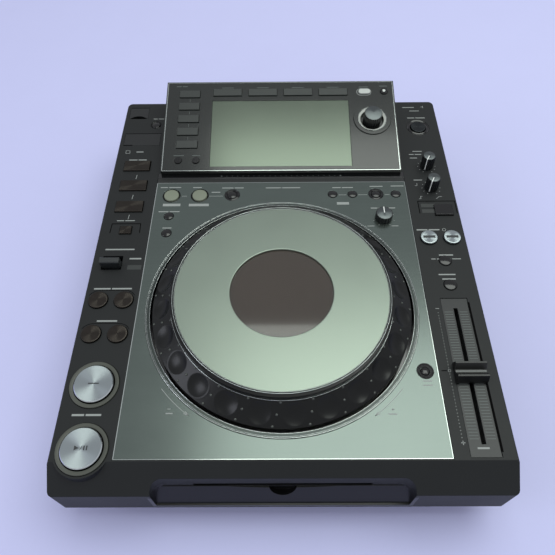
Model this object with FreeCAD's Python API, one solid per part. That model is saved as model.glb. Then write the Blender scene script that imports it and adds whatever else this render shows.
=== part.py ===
import FreeCAD, Part
import math
import os

# A tabletop player for DJs: a flat case with a large jog wheel, a tilted display,
# a rail of controls on each side and a slot for discs in its front.
# Millimetres. X to the right, Y to the rear, Z up from the table.
# The origin is on the table, under the middle of the whole player.

V = FreeCAD.Vector

# Case
rail_width = 44.2
deck_height = 77.5
case_wall = 2.6
deck_wall = 3.6
front_corner_radius = 3.0
rear_corner_radius = 5.0
edge_bevel = 0.9
apron_depth = 19.8
apron_drop = 13.4
face_height = 32.4
rear_margin = 2.2
jack_reach = 12.0

# Jog wheel, heights over the deck
ring_radius = 102.6
ring_slope_width = 16.3
ring_edge_height = 2.3
ring_crown_height = 14.0
ring_skirt = 6.0
ring_web = 3.0
ring_shell = 5.2
hub_wall = 3.6
bearing_clearance = 0.35
dimple_count = 24
dimple_radius = 8.6
dimple_depth = 1.8
dimple_phase = 5.1
groove_width = 1.7
platter_rim = 1.6
platter_height = 22.4
cover_glass = 1.5
silver_thickness = 1.2
window_radius = 40.2
window_overlap = 2.8
platter_press = 0.5
platter_gap = 0.3

# Fixed dish round the wheel
dish_gap = 2.2
dish_wall = 1.6
dish_lip_width = 2.3
dish_lip = 0.8
dish_floor_depth = 12.5

# Deck plate round the dish, and the needle strip behind it
plate_gap = 0.9
plate_front = 14.1
plate_rear = 25.9
plate_side = 7.1
plate_thickness = 1.6
plate_clearance = 0.25
strip_depth = 11.2
strip_gap = 0.3
strip_step = 5.0
strip_ramp = 0.8
strip_rise = 0.4
strip_sink = 0.2

# Display unit
display_side_gap = 2.3
display_depth = 101.4
display_tilt = 12.97
display_front_height = 5.0
display_lean = 1.4
display_wall = 2.5
display_top_wall = 4.2
display_rim = 1.2
panel_thickness = 1.2
panel_clearance = 0.15
screen_side = 46.0
screen_from_front = 4.8
screen_from_rear = 23.05
screen_pocket = 1.6
screen_inset = 0.4

# Front bay, disc slot and drive, heights under the deck
bay_width = 181.0
bay_depth = 9.9
bay_radius = 8.0
bay_mouth_radius = 1.0
bay_floor_drop = 40.3
slot_width = 125.0
slot_height = 5.0
slot_drop = 19.0
bezel_foot = 1.5
bezel_top = 0.5
notch_radius = 9.7
slot_bow = 1.6
slot_bow_width = 79.0
drive_side = 10.5
drive_length = 146.0
drive_height = 27.0
drive_sheet = 1.2
drive_play = 0.3
disc_guide = 1.5
dish_to_drive = 1.2

# Round buttons sit in holes with this play, over a square flange under the panel
button_play = 0.3
flange_play = 0.15
flange_thickness = 1.2
flange_overhang = 1.0
window_play = 0.6
key_bevel = 0.5

# Cue and play buttons
main_button_radius = 18.2
main_cap_radius = 14.5
main_ring_height = 1.0
main_cap_height = 2.8
collar_wall = 1.5
cue_from_fold = 55.8
play_from_fold = 8.5

# Round rail buttons: side, end they are measured from (-1 the fold line, 1 the rear),
# offset from the rail's centre line, distance from that end, cap radius, height over
# the deck, radius of the sunk surround
rail_buttons = {
    "search_back_button": (-1, -1, -10.3, 97.8, 7.8, 1.6, 0),
    "search_forward_button": (-1, -1, 10.3, 97.8, 7.8, 1.6, 0),
    "track_back_button": (-1, -1, -10.3, 128.8, 7.8, 1.6, 0),
    "track_forward_button": (-1, -1, 10.3, 128.8, 7.8, 1.6, 0),
    "usb_stop_button": (-1, 1, 11.0, 34.1, 4.2, 0.6, 5.6),
    "master_tempo_button": (1, -1, 0.2, 141.9, 5.2, 1.4, 0),
    "tempo_range_button": (1, -1, 0.2, 166.5, 5.2, 1.4, 0),
    "sync_button": (1, -1, -9.9, 190.5, 7.2, 2.4, 0),
    "master_button": (1, -1, 10.1, 190.5, 7.2, 2.4, 0),
    "eject_button": (1, 1, 1.2, 40.2, 7.6, 0.8, 11.5),
}

# Round buttons in the deck plate: side and end of the plate they are measured from,
# the two distances, cap radius, height over the deck, radius of the sunk surround
plate_buttons = {
    "loop_in_button": (-1, 1, 15.0, 16.3, 6.8, 1.6, 8.3),
    "loop_out_button": (-1, 1, 41.0, 16.3, 6.8, 1.6, 8.3),
    "reloop_button": (-1, 1, 70.9, 15.7, 4.3, 0.8, 7.2),
    "loop_mode_button": (-1, 1, 15.0, 40.9, 4.3, 1.2, 0),
    "slip_button": (-1, 1, 15.0, 60.4, 4.3, 1.2, 0),
    "call_back_button": (1, 1, 68.2, 15.7, 4.2, 1.2, 0),
    "call_forward_button": (1, 1, 50.0, 15.7, 4.2, 1.2, 0),
    "delete_button": (1, 1, 28.4, 15.7, 4.0, 0.8, 7.0),
    "memory_button": (1, 1, 10.2, 15.7, 4.3, 1.2, 0),
    "tempo_reset_button": (1, -1, 9.7, 64.6, 3.2, 0.6, 6.4),
}
surround_depth = 1.0

# Keys with corners: side, end, offset, distance from that end, width, length, height
rail_keys = {
    "hot_cue_3_key": (-1, 1, 0.0, 144.6, 25.0, 12.8, 1.4),
    "hot_cue_2_key": (-1, 1, 0.0, 118.6, 25.0, 12.8, 1.4),
    "hot_cue_1_key": (-1, 1, 0.0, 93.0, 25.0, 12.8, 1.4),
    "record_call_key": (-1, 1, 0.8, 172.0, 10.4, 8.6, 1.4),
    "jog_mode_key": (1, -1, 8.2, 222.4, 16.0, 12.4, 1.8),
}

# Keys of the display unit, measured from its edges, up the slope
media_key_from_side = 23.4
media_key_from_front = 29.5
media_key_from_rear = 15.15
media_key_count = 5
media_key_size = (20.0, 8.2)
browse_key_from_rear = 13.45
browse_key_margin = 0.9
browse_key_gap = 7.05
browse_key_count = 4
browse_key_length = 8.0
display_key_height = 1.0
strip_margin = 1.6
back_button = (29.6, 13.25, 11.6, 5.6)
back_button_corner = 2.6
display_buttons = {
    "time_mode_button": (-1, -1, 16.0, 11.8, 3.4),
    "quantize_button": (-1, -1, 32.7, 11.8, 3.4),
    "tag_button": (1, 1, 10.1, 12.85, 3.6),
}

# Rotary selector in its sunk boss on the display unit
selector_from_side = 23.9
selector_from_rear = 46.15
selector_boss_radius = 18.0
selector_boss_height = 0.9
selector_boss_floor = 2.0
selector_mouth_radius = 13.6
selector_well_radius = 11.4
selector_well_depth = 5.4
selector_knob_radius = 8.7
selector_knob_height = 9.4
selector_ribs = 24

# Rotary knobs on the deck
knob_radius = 6.1
knob_height = 14.0
knob_lift = 0.5
knob_ribs = 18
knob_rib_depth = 0.6
knob_shaft_radius = 3.0
knob_shaft_play = 0.05
knob_shaft_reach = 5.0
pointer_width = 0.9
pointer_depth = 0.5
touch_knob_from_fold = 277.8
release_knob_from_fold = 249.8
rail_knob_offset = 1.3
rail_knob_turn = -27.0
jog_adjust_from_side = 24.4
jog_adjust_from_rear = 44.1
jog_adjust_radius = 7.6
jog_adjust_height = 6.4
half_turn = 180.0

# Tempo fader
fader_from_fold = 65.45
fader_offset = 0.5
fader_plate_width = 21.2
fader_plate_end = 9.0
fader_plate_thickness = 1.0
fader_plate_inset = 0.5
fader_slot_width = 3.2
fader_body_width = 14.0
fader_body_depth = 12.0
fader_body_floor = 2.0
fader_body_margin = 3.0
fader_travel = 100.0
fader_rest = -2.3
fader_cap_width = 23.0
fader_cap_length = 15.8
fader_cap_height = 9.0
fader_cap_valley = 4.6
fader_cap_side = 2.6
fader_cap_slope = 2.0
fader_cap_ridge = 1.4
fader_cap_floor = 2.4
fader_cap_lift = 0.4
fader_blade_length = 8.4
fader_blade_floor = 1.0

# Direction lever
lever_offset = -5.3
lever_from_fold = 166.1
lever_slot_length = 14.2
lever_width = 16.2
lever_side_play = 0.4
lever_thickness = 5.4
lever_bevel = 0.8
lever_height = 9.0
lever_pivot_depth = 14.0
lever_pin_radius = 1.5
lever_pin_play = 0.05
lever_lean = 8.0
cheek_thickness = 2.4
cheek_half_width = 4.0
cheek_foot = 3.5

# USB well with its lid, card well with its door
usb_offset = -8.4
usb_from_rear = 15.8
usb_size = (19.6, 17.4)
usb_well_depth = 9.0
usb_socket = (12.6, 5.4, 12.0)
usb_scoop_radius = 12.0
usb_scoop_depth = 4.2
card_from_rear = 55.4
card_size = (36.0, 17.8)
card_well_depth = 7.6
card_slot = (24.6, 2.6, 12.0)
card_notch = (9.0, 1.2)
lid_thickness = 2.0
lid_play = 0.25
lid_ledge = 1.2
well_wall = 1.2
well_play = 0.1
well_bridge = (12.0, 5.0)

# Lower case, feet and what they carry
foot_height = 8.0
foot_radius = 14.0
foot_inset = 33.0
pan_sheet = 1.5
pan_top_inset = 7.0
pan_bottom_inset = 16.0
pan_front_slope = 18.0
pan_flange_inset = 1.5
pan_corner_cut = 8.0
post_width = 9.0
post_inset = 10.0
front_post_inset = 40.0

# Rear panel and its sockets: distances from the sides of the case, heights over the
# case's lower edge, the window's top under the deck
rear_window_sides = (24.0, 8.0)
rear_window_low = 3.9
rear_window_drop = 11.5
panel_margin = 3.0
rear_row_height = 19.3
board_from_left = 34.0
board_past_link = 20.0
board_depth = 38.0
board_thickness = 1.6
board_gap = 1.0
row_over_board = 6.0
phono_from_left = (48.0, 68.0, 138.0)
phono_barrel_radius = 4.15
phono_body = 13.0
control_jack_from_left = 110.0
control_jack_radius = 3.0
control_jack_body = 10.0
usb_b_from_left = 182.0
usb_b_outer = 12.0
usb_b_mouth = (8.5, 7.8)
usb_b_tongue = (5.6, 3.2)
usb_b_tongue_inset = 2.0
link_from_left = 212.0
link_outer = (16.0, 13.6)
link_mouth = (11.9, 8.2)
socket_depth = 16.0
socket_reach = 1.0
mouth_depth = 12.0
inlet_from_right = 60.0
inlet_flange = (30.0, 24.0, 2.4)
inlet_body = (27.0, 20.0, 19.0)
inlet_mouth = (24.2, 16.4, 16.0)
inlet_pin = (2.0, 4.0, 13.0)
inlet_pin_pitch = 14.0
inlet_pin_drop = 1.5
inlet_earth_rise = 2.5
power_from_right = 22.0
power_size = (13.0, 9.0)
power_reach = 6.0
power_length = 20.0
power_bevel = 0.8
rear_play = 0.3

# Added to a cutting tool where it only has to pass the surface
past = 1.0

# Worked out from the sizes above
dish_wall_radius = ring_radius + dish_gap + dish_wall
dish_radius = dish_wall_radius + dish_lip_width
ring_crown_radius = ring_radius - ring_slope_width
platter_radius = ring_crown_radius - groove_width
silver_radius = platter_radius - platter_rim
display_column_radius = window_radius + window_overlap
plate_width = 2 * (dish_radius + plate_side)
plate_length = plate_front + 2 * dish_radius + plate_rear
case_width = plate_width + 2 * rail_width
case_depth = (apron_depth + plate_gap + plate_length + strip_gap + strip_depth
              + display_depth + rear_margin)
front_y = -(case_depth + jack_reach) / 2
rear_y = front_y + case_depth
fold_y = front_y + apron_depth
plate_front_y = fold_y + plate_gap
plate_rear_y = plate_front_y + plate_length
strip_front_y = plate_rear_y + strip_gap
jog_y = plate_front_y + plate_front + dish_radius
display_y = strip_front_y + strip_depth - display_lean
display_z = deck_height + display_front_height
display_rise = display_depth * math.tan(math.radians(display_tilt))
display_slope = display_depth / math.cos(math.radians(display_tilt))
display_width = plate_width - 2 * display_side_gap
screen_width = display_width - 2 * screen_side
screen_height = display_slope - screen_from_front - screen_from_rear
selector_x = display_width / 2 - selector_from_side
selector_slope = display_slope - selector_from_rear
display_flange_top = -panel_thickness - flange_play
case_bottom = deck_height - apron_drop - face_height
rail_x = (plate_width + rail_width) / 2
collar_radius = main_button_radius + button_play + collar_wall
bay_y = front_y + bay_depth
inner_front_y = bay_y + case_wall
inner_rear_y = rear_y - case_wall
inner_half_width = case_width / 2 - case_wall
bay_floor = deck_height - bay_floor_drop
slot_top = deck_height - slot_drop
slot_bottom = slot_top - slot_height
drive_width = slot_width + 2 * drive_side
drive_front_y = inner_front_y + drive_play
drive_top = deck_height - dish_floor_depth - dish_wall - dish_to_drive
drive_bottom = drive_top - drive_height
fader_x = rail_x + fader_offset
fader_y = fold_y + fader_from_fold
fader_slot_length = fader_travel + fader_blade_length + 2 * button_play
fader_plate_length = fader_slot_length + 2 * fader_plate_end
lever_x = -rail_x + lever_offset
lever_y = fold_y + lever_from_fold
lever_slot_width = lever_width + 2 * lever_side_play
usb_x = -rail_x + usb_offset
usb_y = rear_y - usb_from_rear
card_y = rear_y - card_from_rear
pan_floor = foot_height + pan_sheet
rear_plate_y = inner_rear_y - pan_sheet
row_z = case_bottom + rear_row_height
board_top = row_z - row_over_board
board_height = board_top - board_thickness
phono_x = [distance - case_width / 2 for distance in phono_from_left]
control_jack_x = control_jack_from_left - case_width / 2
usb_b_x = usb_b_from_left - case_width / 2
link_x = link_from_left - case_width / 2
inlet_x = case_width / 2 - inlet_from_right
power_x = case_width / 2 - power_from_right
window_left = rear_window_sides[0] - case_width / 2
window_right = case_width / 2 - rear_window_sides[1]
window_low = case_bottom + rear_window_low
window_high = deck_height - rear_window_drop
board_left = board_from_left - case_width / 2
board_right = link_x + board_past_link


def box(x0, x1, y0, y1, z0, z1):
    return Part.makeBox(x1 - x0, y1 - y0, z1 - z0, V(x0, y0, z0))


def centred_box(x, y, width, length, z0, z1):
    return box(x - width / 2, x + width / 2, y - length / 2, y + length / 2, z0, z1)


def rod(x, y, radius, z0, z1):
    return Part.makeCylinder(radius, z1 - z0, V(x, y, z0))


def rod_along(start, direction, radius, length):
    return Part.makeCylinder(radius, length, V(*start), V(*direction))


def turned(x, y, profile):
    """Solid of revolution about the vertical through (x, y), from (radius, z) points."""
    points = [V(r, 0, z) for r, z in profile]
    face = Part.Face(Part.makePolygon(points + points[:1]))
    solid = face.revolve(V(0, 0, 0), V(0, 0, 1), 360)
    return solid.translated(V(x, y, 0))


def outline(x0, x1, y0, y1, front_radius, rear_radius, z=0):
    """Closed plan outline with round corners at the front and at the rear."""
    corners = [
        (x1, y0, front_radius, 270),
        (x1, y1, rear_radius, 0),
        (x0, y1, rear_radius, 90),
        (x0, y0, front_radius, 180),
    ]
    arcs = []
    for x, y, radius, start in corners:
        cx = x - radius if x == x1 else x + radius
        cy = y - radius if y == y1 else y + radius
        turn = [math.radians(start + step) for step in (0, 45, 90)]
        arcs.append([V(cx + radius * math.cos(a), cy + radius * math.sin(a), z) for a in turn])
    edges = []
    for index, arc in enumerate(arcs):
        edges.append(Part.Arc(*arc).toShape())
        following = arcs[(index + 1) % 4][0]
        edges.append(Part.LineSegment(arc[2], following).toShape())
    return Part.Wire(edges)


def rounded_box(x, y, width, length, radius, z0, z1):
    wire = outline(x - width / 2, x + width / 2, y - length / 2, y + length / 2, radius, radius, z0)
    return Part.Face(wire).extrude(V(0, 0, z1 - z0))


def side_profile(points, x0, x1):
    """Prism along X from (y, z) points."""
    corners = [V(x0, y, z) for y, z in points]
    face = Part.Face(Part.makePolygon(corners + corners[:1]))
    return face.extrude(V(x1 - x0, 0, 0))


def on_display(shape):
    """From flat display coordinates (across, up the slope, out) to the tilted face."""
    tilted = shape.copy()
    tilted.rotate(V(0, 0, 0), V(1, 0, 0), display_tilt)
    tilted.translate(V(0, display_y, display_z))
    return tilted


def fuse(shapes):
    result = shapes[0].fuse(shapes[1:])
    return result.removeSplitter()


def long_edges(shape, test):
    return [edge for edge in shape.Edges if test(edge)]


def rail_place(side, end, offset, distance):
    """Point on a rail, measured from the fold line or from the rear of the case."""
    y = rear_y - distance if end > 0 else fold_y + distance
    return side * rail_x + offset, y


def plate_place(side, end, from_side, from_end):
    """Point on the deck plate, measured from one of its corners."""
    y = plate_rear_y - from_end if end > 0 else plate_front_y + from_end
    return side * (plate_width / 2 - from_side), y


def display_place(side, end, from_side, from_end):
    """Point on the display unit's face, in flat display coordinates."""
    y = display_slope - from_end if end > 0 else from_end
    return side * (display_width / 2 - from_side), y


def rail_round_buttons():
    """Name, centre, cap radius, height and surround of the round buttons on the rails."""
    return [(name, *rail_place(*values[:4]), *values[4:])
            for name, values in rail_buttons.items()]


def plate_round_buttons():
    """The same for the round buttons in the deck plate."""
    return [(name, *plate_place(*values[:4]), *values[4:])
            for name, values in plate_buttons.items()]


def knob_places():
    rail_knob_x = rail_x + rail_knob_offset
    return [
        (rail_knob_x, fold_y + touch_knob_from_fold),
        (rail_knob_x, fold_y + release_knob_from_fold),
        plate_place(1, 1, jog_adjust_from_side, jog_adjust_from_rear),
    ]


def bay_room(z0, z1):
    """Space of the front bay: open at the front, round in its two inner corners."""
    half = bay_width / 2
    wire = outline(-half, half, front_y - 2 * bay_radius, bay_y, bay_mouth_radius,
                   bay_radius, z0)
    return Part.Face(wire).extrude(V(0, 0, z1 - z0))


def bay_block(rear):
    """Block of the bay's moulding, up to the disc slot's upper edge."""
    half = bay_width / 2 + case_wall
    return box(-half, half, front_y, rear, bay_floor - case_wall, slot_top)


def button_holes(places, low):
    """Round holes for buttons, with a sunk surround where a button has one."""
    cuts = []
    for name, x, y, radius, height, surround in places:
        cuts.append(rod(x, y, radius + button_play, low, deck_height + past))
        if surround:
            cuts.append(rod(x, y, surround, deck_height - surround_depth, deck_height + past))
    return cuts


def rail_holes():
    """Every hole that goes down through the rails."""
    top = deck_height + past
    low = deck_height - deck_wall - past
    touch, release, adjust = knob_places()
    cuts = button_holes(rail_round_buttons(), low)
    for x, y in (touch, release):
        cuts.append(rod(x, y, knob_shaft_radius + knob_shaft_play, low, top))
    for side, end, offset, distance, width, length, height in rail_keys.values():
        x, y = rail_place(side, end, offset, distance)
        size = (width + 2 * button_play, length + 2 * button_play)
        cuts.append(centred_box(x, y, *size, low, top))
    main_bottom = deck_height - apron_drop - 2 * case_wall
    for from_fold in (cue_from_fold, play_from_fold):
        y = fold_y + from_fold
        cuts.append(rod(-rail_x, y, main_button_radius + button_play, main_bottom, top))
    return cuts


def plate_windows():
    """Square windows in the cover, under what passes through the deck plate."""
    low = deck_height - deck_wall - past
    cuts = []
    for name, x, y, radius, height, surround in plate_round_buttons():
        side = 2 * (radius + flange_overhang + window_play)
        cuts.append(centred_box(x, y, side, side, low, deck_height))
    x, y = knob_places()[2]
    side = 2 * (knob_shaft_radius + window_play)
    cuts.append(centred_box(x, y, side, side, low, deck_height))
    return cuts


def case_body():
    """Outer form of the upper case: plan outline crossed with the side profile."""
    plan = outline(-case_width / 2, case_width / 2, front_y, rear_y,
                   front_corner_radius, rear_corner_radius, case_bottom)
    block = Part.Face(plan).extrude(V(0, 0, deck_height - case_bottom))
    profile = [
        (front_y, case_bottom),
        (front_y, deck_height - apron_drop),
        (fold_y, deck_height),
        (rear_y, deck_height),
        (rear_y, case_bottom),
    ]
    body = block.common(side_profile(profile, -case_width, case_width))
    sides = long_edges(body, lambda e: e.Length > plate_length
                       and abs(e.CenterOfMass.x) > plate_width / 2
                       and e.CenterOfMass.z > deck_height - edge_bevel)
    body = body.makeChamfer(edge_bevel, sides)
    collar_bottom = deck_height - apron_drop
    collar = rod(-rail_x, fold_y + play_from_fold, collar_radius, collar_bottom, deck_height)
    return fuse([body, collar])


def case_cavity():
    """Room inside the upper case, open below, with a pocket in each front corner."""
    slope = apron_drop / apron_depth
    roof = deck_height - deck_wall
    front_roof = roof - (fold_y - inner_front_y) * slope - case_wall / 2
    profile = [
        (inner_front_y, case_bottom - past),
        (inner_front_y, front_roof),
        (fold_y + case_wall, roof),
        (inner_rear_y, roof),
        (inner_rear_y, case_bottom - past),
    ]
    room = side_profile(profile, -inner_half_width, inner_half_width)
    pocket_roof = deck_height - apron_drop - case_wall
    pocket_inner = bay_width / 2 + case_wall
    pockets = []
    for side in (-1, 1):
        x0, x1 = sorted((side * pocket_inner, side * inner_half_width))
        pockets.append(box(x0, x1, front_y + case_wall, inner_front_y + past,
                           case_bottom - past, pocket_roof))
    return fuse([room] + pockets)


def well_insert():
    """Moulding under the left rail: the cups of the USB socket and of the card slot."""
    ledge = deck_height - lid_thickness - lid_play
    underside = deck_height - deck_wall
    cups = []
    cuts = []
    for x, y, size, depth, socket in (
            (usb_x, usb_y, usb_size, usb_well_depth, usb_socket),
            (-rail_x, card_y, card_size, card_well_depth, card_slot)):
        width, length = size
        across, along, reach = socket
        low = deck_height - depth - reach
        cups.append(centred_box(x, y, width + 2 * well_wall, length + 2 * well_wall,
                                low, underside))
        cups.append(centred_box(x, y, width - 2 * well_play, length - 2 * well_play,
                                underside - well_wall, ledge))
        cuts.append(centred_box(x, y, width - 2 * lid_ledge, length - 2 * lid_ledge,
                                deck_height - depth, deck_height))
        cuts.append(centred_box(x, y, across, along, low + well_wall, deck_height))
    bridge_width, bridge_height = well_bridge
    bridge_y0 = card_y + card_size[1] / 2
    bridge_y1 = usb_y - usb_size[1] / 2
    cups.append(box(usb_x - bridge_width / 2, usb_x + bridge_width / 2,
                    bridge_y0, bridge_y1, underside - bridge_height, underside))
    return fuse(cups).cut(cuts)


def top_cover():
    cover = case_body().cut(case_cavity())
    cover = cover.cut([bay_room(slot_top, deck_height + past),
                       bay_block(inner_front_y + past)])
    seat = box(-plate_width / 2 - plate_clearance, plate_width / 2 + plate_clearance,
               plate_front_y - plate_clearance, strip_front_y + strip_depth + plate_clearance,
               deck_height - plate_thickness, deck_height + past)
    jog_hole = rod(0, jog_y, dish_wall_radius + plate_clearance,
                   deck_height - deck_wall - past, deck_height + past)
    fader_seat = centred_box(fader_x, fader_y, fader_plate_width + 2 * plate_clearance,
                             fader_plate_length + 2 * plate_clearance,
                             deck_height - fader_plate_inset - fader_plate_thickness,
                             deck_height + past)
    fader_window = centred_box(fader_x, fader_y, fader_body_width + 2 * plate_clearance,
                               fader_slot_length + 2 * fader_body_margin + 2 * plate_clearance,
                               deck_height - deck_wall - past, deck_height)
    rear_opening = box(window_left, window_right, inner_rear_y - past, rear_y + past,
                       window_low, window_high)
    lever_slot = centred_box(lever_x, lever_y, lever_slot_width, lever_slot_length,
                             deck_height - deck_wall - past, deck_height + past)
    lids = [centred_box(usb_x, usb_y, *usb_size, deck_height - deck_wall - past,
                        deck_height + past),
            centred_box(-rail_x, card_y, *card_size, deck_height - deck_wall - past,
                        deck_height + past)]
    cover = cover.cut([seat, jog_hole, fader_seat, fader_window, rear_opening, lever_slot])
    cover = cover.cut(lids).fuse(lever_cheeks())
    return cover.cut(rail_holes() + plate_windows()).removeSplitter()


def lever_cheeks():
    """Two ears under the left rail that hold the lever's pin."""
    pivot_z = deck_height - lever_pivot_depth
    cheeks = []
    for side in (-1, 1):
        inner = lever_x + side * lever_slot_width / 2
        x0, x1 = sorted((inner, inner + side * cheek_thickness))
        ear = box(x0, x1, lever_y - cheek_half_width, lever_y + cheek_half_width,
                  pivot_z - cheek_foot, deck_height - deck_wall)
        bore = rod_along((x0 - past, lever_y, pivot_z), (1, 0, 0),
                         lever_pin_radius + lever_pin_play, cheek_thickness + 2 * past)
        cheeks.append(ear.cut(bore))
    return cheeks


def deck_plate():
    plate = box(-plate_width / 2, plate_width / 2, plate_front_y, plate_rear_y,
                deck_height - plate_thickness, deck_height)
    hole = rod(0, jog_y, dish_radius + plate_clearance,
               deck_height - plate_thickness - past, deck_height + past)
    low = deck_height - plate_thickness - past
    cuts = button_holes(plate_round_buttons(), low)
    x, y = knob_places()[2]
    cuts.append(rod(x, y, knob_shaft_radius + knob_shaft_play, low, deck_height + past))
    return plate.cut([hole] + cuts)


def needle_strip():
    """Touch strip in front of the display: a flat bar with a raised glossy rear half."""
    low = deck_height - plate_thickness
    step_y = strip_front_y + strip_step
    rear = strip_front_y + strip_depth
    bar = side_profile([
        (strip_front_y, low),
        (strip_front_y, deck_height - strip_sink),
        (step_y, deck_height - strip_sink),
        (step_y + strip_ramp, deck_height + strip_rise),
        (rear, deck_height + strip_rise),
        (rear, low),
    ], -plate_width / 2, plate_width / 2)
    return bar.cut(display_block())


def display_block():
    """Solid wedge of the display unit."""
    rear_top_y = display_y + display_depth
    profile = [
        (display_y + display_lean, deck_height),
        (display_y, display_z),
        (rear_top_y, display_z + display_rise),
        (rear_top_y + display_lean, deck_height),
    ]
    return side_profile(profile, -display_width / 2, display_width / 2)


def spread_boxes(places, play, low, high):
    """Boxes at (x, y, width, length) places, each wider by the play all round."""
    return [centred_box(x, y, width + 2 * play, length + 2 * play, low, high)
            for x, y, width, length in places]


def media_key_places():
    """Column of keys on the left of the screen."""
    width, length = media_key_size
    x = media_key_from_side - display_width / 2
    run = display_slope - media_key_from_front - media_key_from_rear
    pitch = run / (media_key_count - 1)
    return [(x, media_key_from_front + index * pitch, width, length)
            for index in range(media_key_count)]


def browse_key_places():
    """Row of keys over the screen, spread across its width."""
    room = screen_width - 2 * browse_key_margin + browse_key_gap
    pitch = room / browse_key_count
    first = -pitch * (browse_key_count - 1) / 2
    y = display_slope - browse_key_from_rear
    return [(first + index * pitch, y, pitch - browse_key_gap, browse_key_length)
            for index in range(browse_key_count)]


def back_button_place():
    from_side, from_rear, width, length = back_button
    return (*display_place(1, 1, from_side, from_rear), width, length)


def display_round_buttons():
    return [(name, *display_place(*values[:4]), values[4])
            for name, values in display_buttons.items()]


def display_openings(low, high):
    """Everything that pierces the display unit's face."""
    cuts = spread_boxes(media_key_places() + browse_key_places(), button_play, low, high)
    x, y, width, length = back_button_place()
    cuts.append(rounded_box(x, y, width + 2 * button_play, length + 2 * button_play,
                            back_button_corner + button_play, low, high))
    for name, x, y, radius in display_round_buttons():
        cuts.append(rod(x, y, radius + button_play, low, high))
    return cuts


def display_windows():
    """Square windows in the housing's top, under the keys that the panel holds."""
    low = -display_top_wall - selector_boss_floor - past
    places = [key_web(media_key_places()), key_web(browse_key_places())]
    windows = spread_boxes(places, window_play, low, 0)
    single = [back_button_place()]
    for name, x, y, radius in display_round_buttons():
        single.append((x, y, 2 * radius, 2 * radius))
    return windows + spread_boxes(single, flange_overhang + window_play, low, 0)


def key_web(places):
    """Place of the common web under a group of keys."""
    x0 = min(x - width / 2 for x, y, width, length in places) - strip_margin
    x1 = max(x + width / 2 for x, y, width, length in places) + strip_margin
    y0 = min(y - length / 2 for x, y, width, length in places) - strip_margin
    y1 = max(y + length / 2 for x, y, width, length in places) + strip_margin
    return (x0 + x1) / 2, (y0 + y1) / 2, x1 - x0, y1 - y0


def screen_box(shrink, low, high):
    return centred_box(0, screen_from_front + screen_height / 2,
                       screen_width - 2 * shrink, screen_height - 2 * shrink, low, high)


def display_housing():
    """Hollow wedge with a sunk seat for the glossy panel and a boss for the selector."""
    wedge = display_block()
    wall = display_wall
    rear_top_y = display_y + display_depth
    roof_drop = display_top_wall / math.cos(math.radians(display_tilt))
    slope = math.tan(math.radians(display_tilt))
    room_front = display_y + display_lean + wall
    room_rear = rear_top_y - wall
    front_roof = display_z + (room_front - display_y) * slope - roof_drop
    rear_roof = display_z + (room_rear - display_y) * slope - roof_drop
    room = side_profile([
        (room_front, deck_height - past),
        (room_front, front_roof),
        (room_rear, rear_roof),
        (room_rear, deck_height - past),
    ], -display_width / 2 + wall, display_width / 2 - wall)
    seat = centred_box(0, display_slope / 2, display_width - 2 * display_rim,
                       display_slope - 2 * display_rim, -panel_thickness,
                       selector_boss_height)
    pocket = screen_box(0, -panel_thickness - screen_pocket, 0)
    hollow = wedge.cut([room, on_display(seat), on_display(pocket)])
    well_floor = -selector_well_depth - display_top_wall - selector_boss_floor
    boss = rod(selector_x, selector_slope, selector_boss_radius, well_floor, selector_boss_height)
    boss = boss.cut(turned(selector_x, selector_slope, [
        (0, selector_boss_height + past),
        (selector_mouth_radius, selector_boss_height + past),
        (selector_mouth_radius, selector_boss_height),
        (selector_well_radius, selector_boss_height - selector_well_depth),
        (0, selector_boss_height - selector_well_depth),
    ]))
    boss = boss.cut(rod(selector_x, selector_slope, knob_shaft_radius + knob_shaft_play,
                        well_floor - past, 0))
    bored = hollow.cut(on_display(rod(selector_x, selector_slope, selector_boss_radius,
                                      -display_top_wall - past, selector_boss_height)))
    housing = bored.fuse(on_display(boss))
    return housing.cut([on_display(cut) for cut in display_windows()]).removeSplitter()


def display_panel():
    """Glossy face plate, cut out for the screen, the selector and the keys."""
    inset = display_rim + panel_clearance
    plate = centred_box(0, display_slope / 2, display_width - 2 * inset,
                        display_slope - 2 * inset, -panel_thickness, 0)
    cuts = display_openings(-panel_thickness - past, past)
    cuts.append(screen_box(0, -panel_thickness - past, past))
    cuts.append(rod(selector_x, selector_slope, selector_boss_radius + panel_clearance,
                    -panel_thickness - past, past))
    return on_display(plate.cut(cuts))


def lcd_screen():
    return on_display(screen_box(panel_clearance, -panel_thickness - screen_pocket, -screen_inset))


def jog_dish():
    """Fixed pan under the wheel: a polished lip on the deck, a floor below it and, in its
    middle, the column that the wheel turns about, with the round display on top."""
    seat = deck_height - plate_thickness
    floor = deck_height - dish_floor_depth
    inner = dish_wall_radius - dish_wall
    ledge = platter_levels()[3]
    return turned(0, jog_y, [
        (0, floor - dish_wall),
        (dish_wall_radius, floor - dish_wall),
        (dish_wall_radius, seat),
        (dish_radius, seat),
        (dish_radius, deck_height + dish_lip),
        (inner, deck_height + dish_lip),
        (inner, floor),
        (display_column_radius, floor),
        (display_column_radius, ledge),
        (0, ledge),
    ])


def platter_levels():
    top = deck_height + platter_height
    glass_bottom = top - cover_glass
    silver_bottom = glass_bottom - silver_thickness
    ledge = silver_bottom - platter_press - platter_gap
    return top, glass_bottom, silver_bottom, ledge


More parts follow.
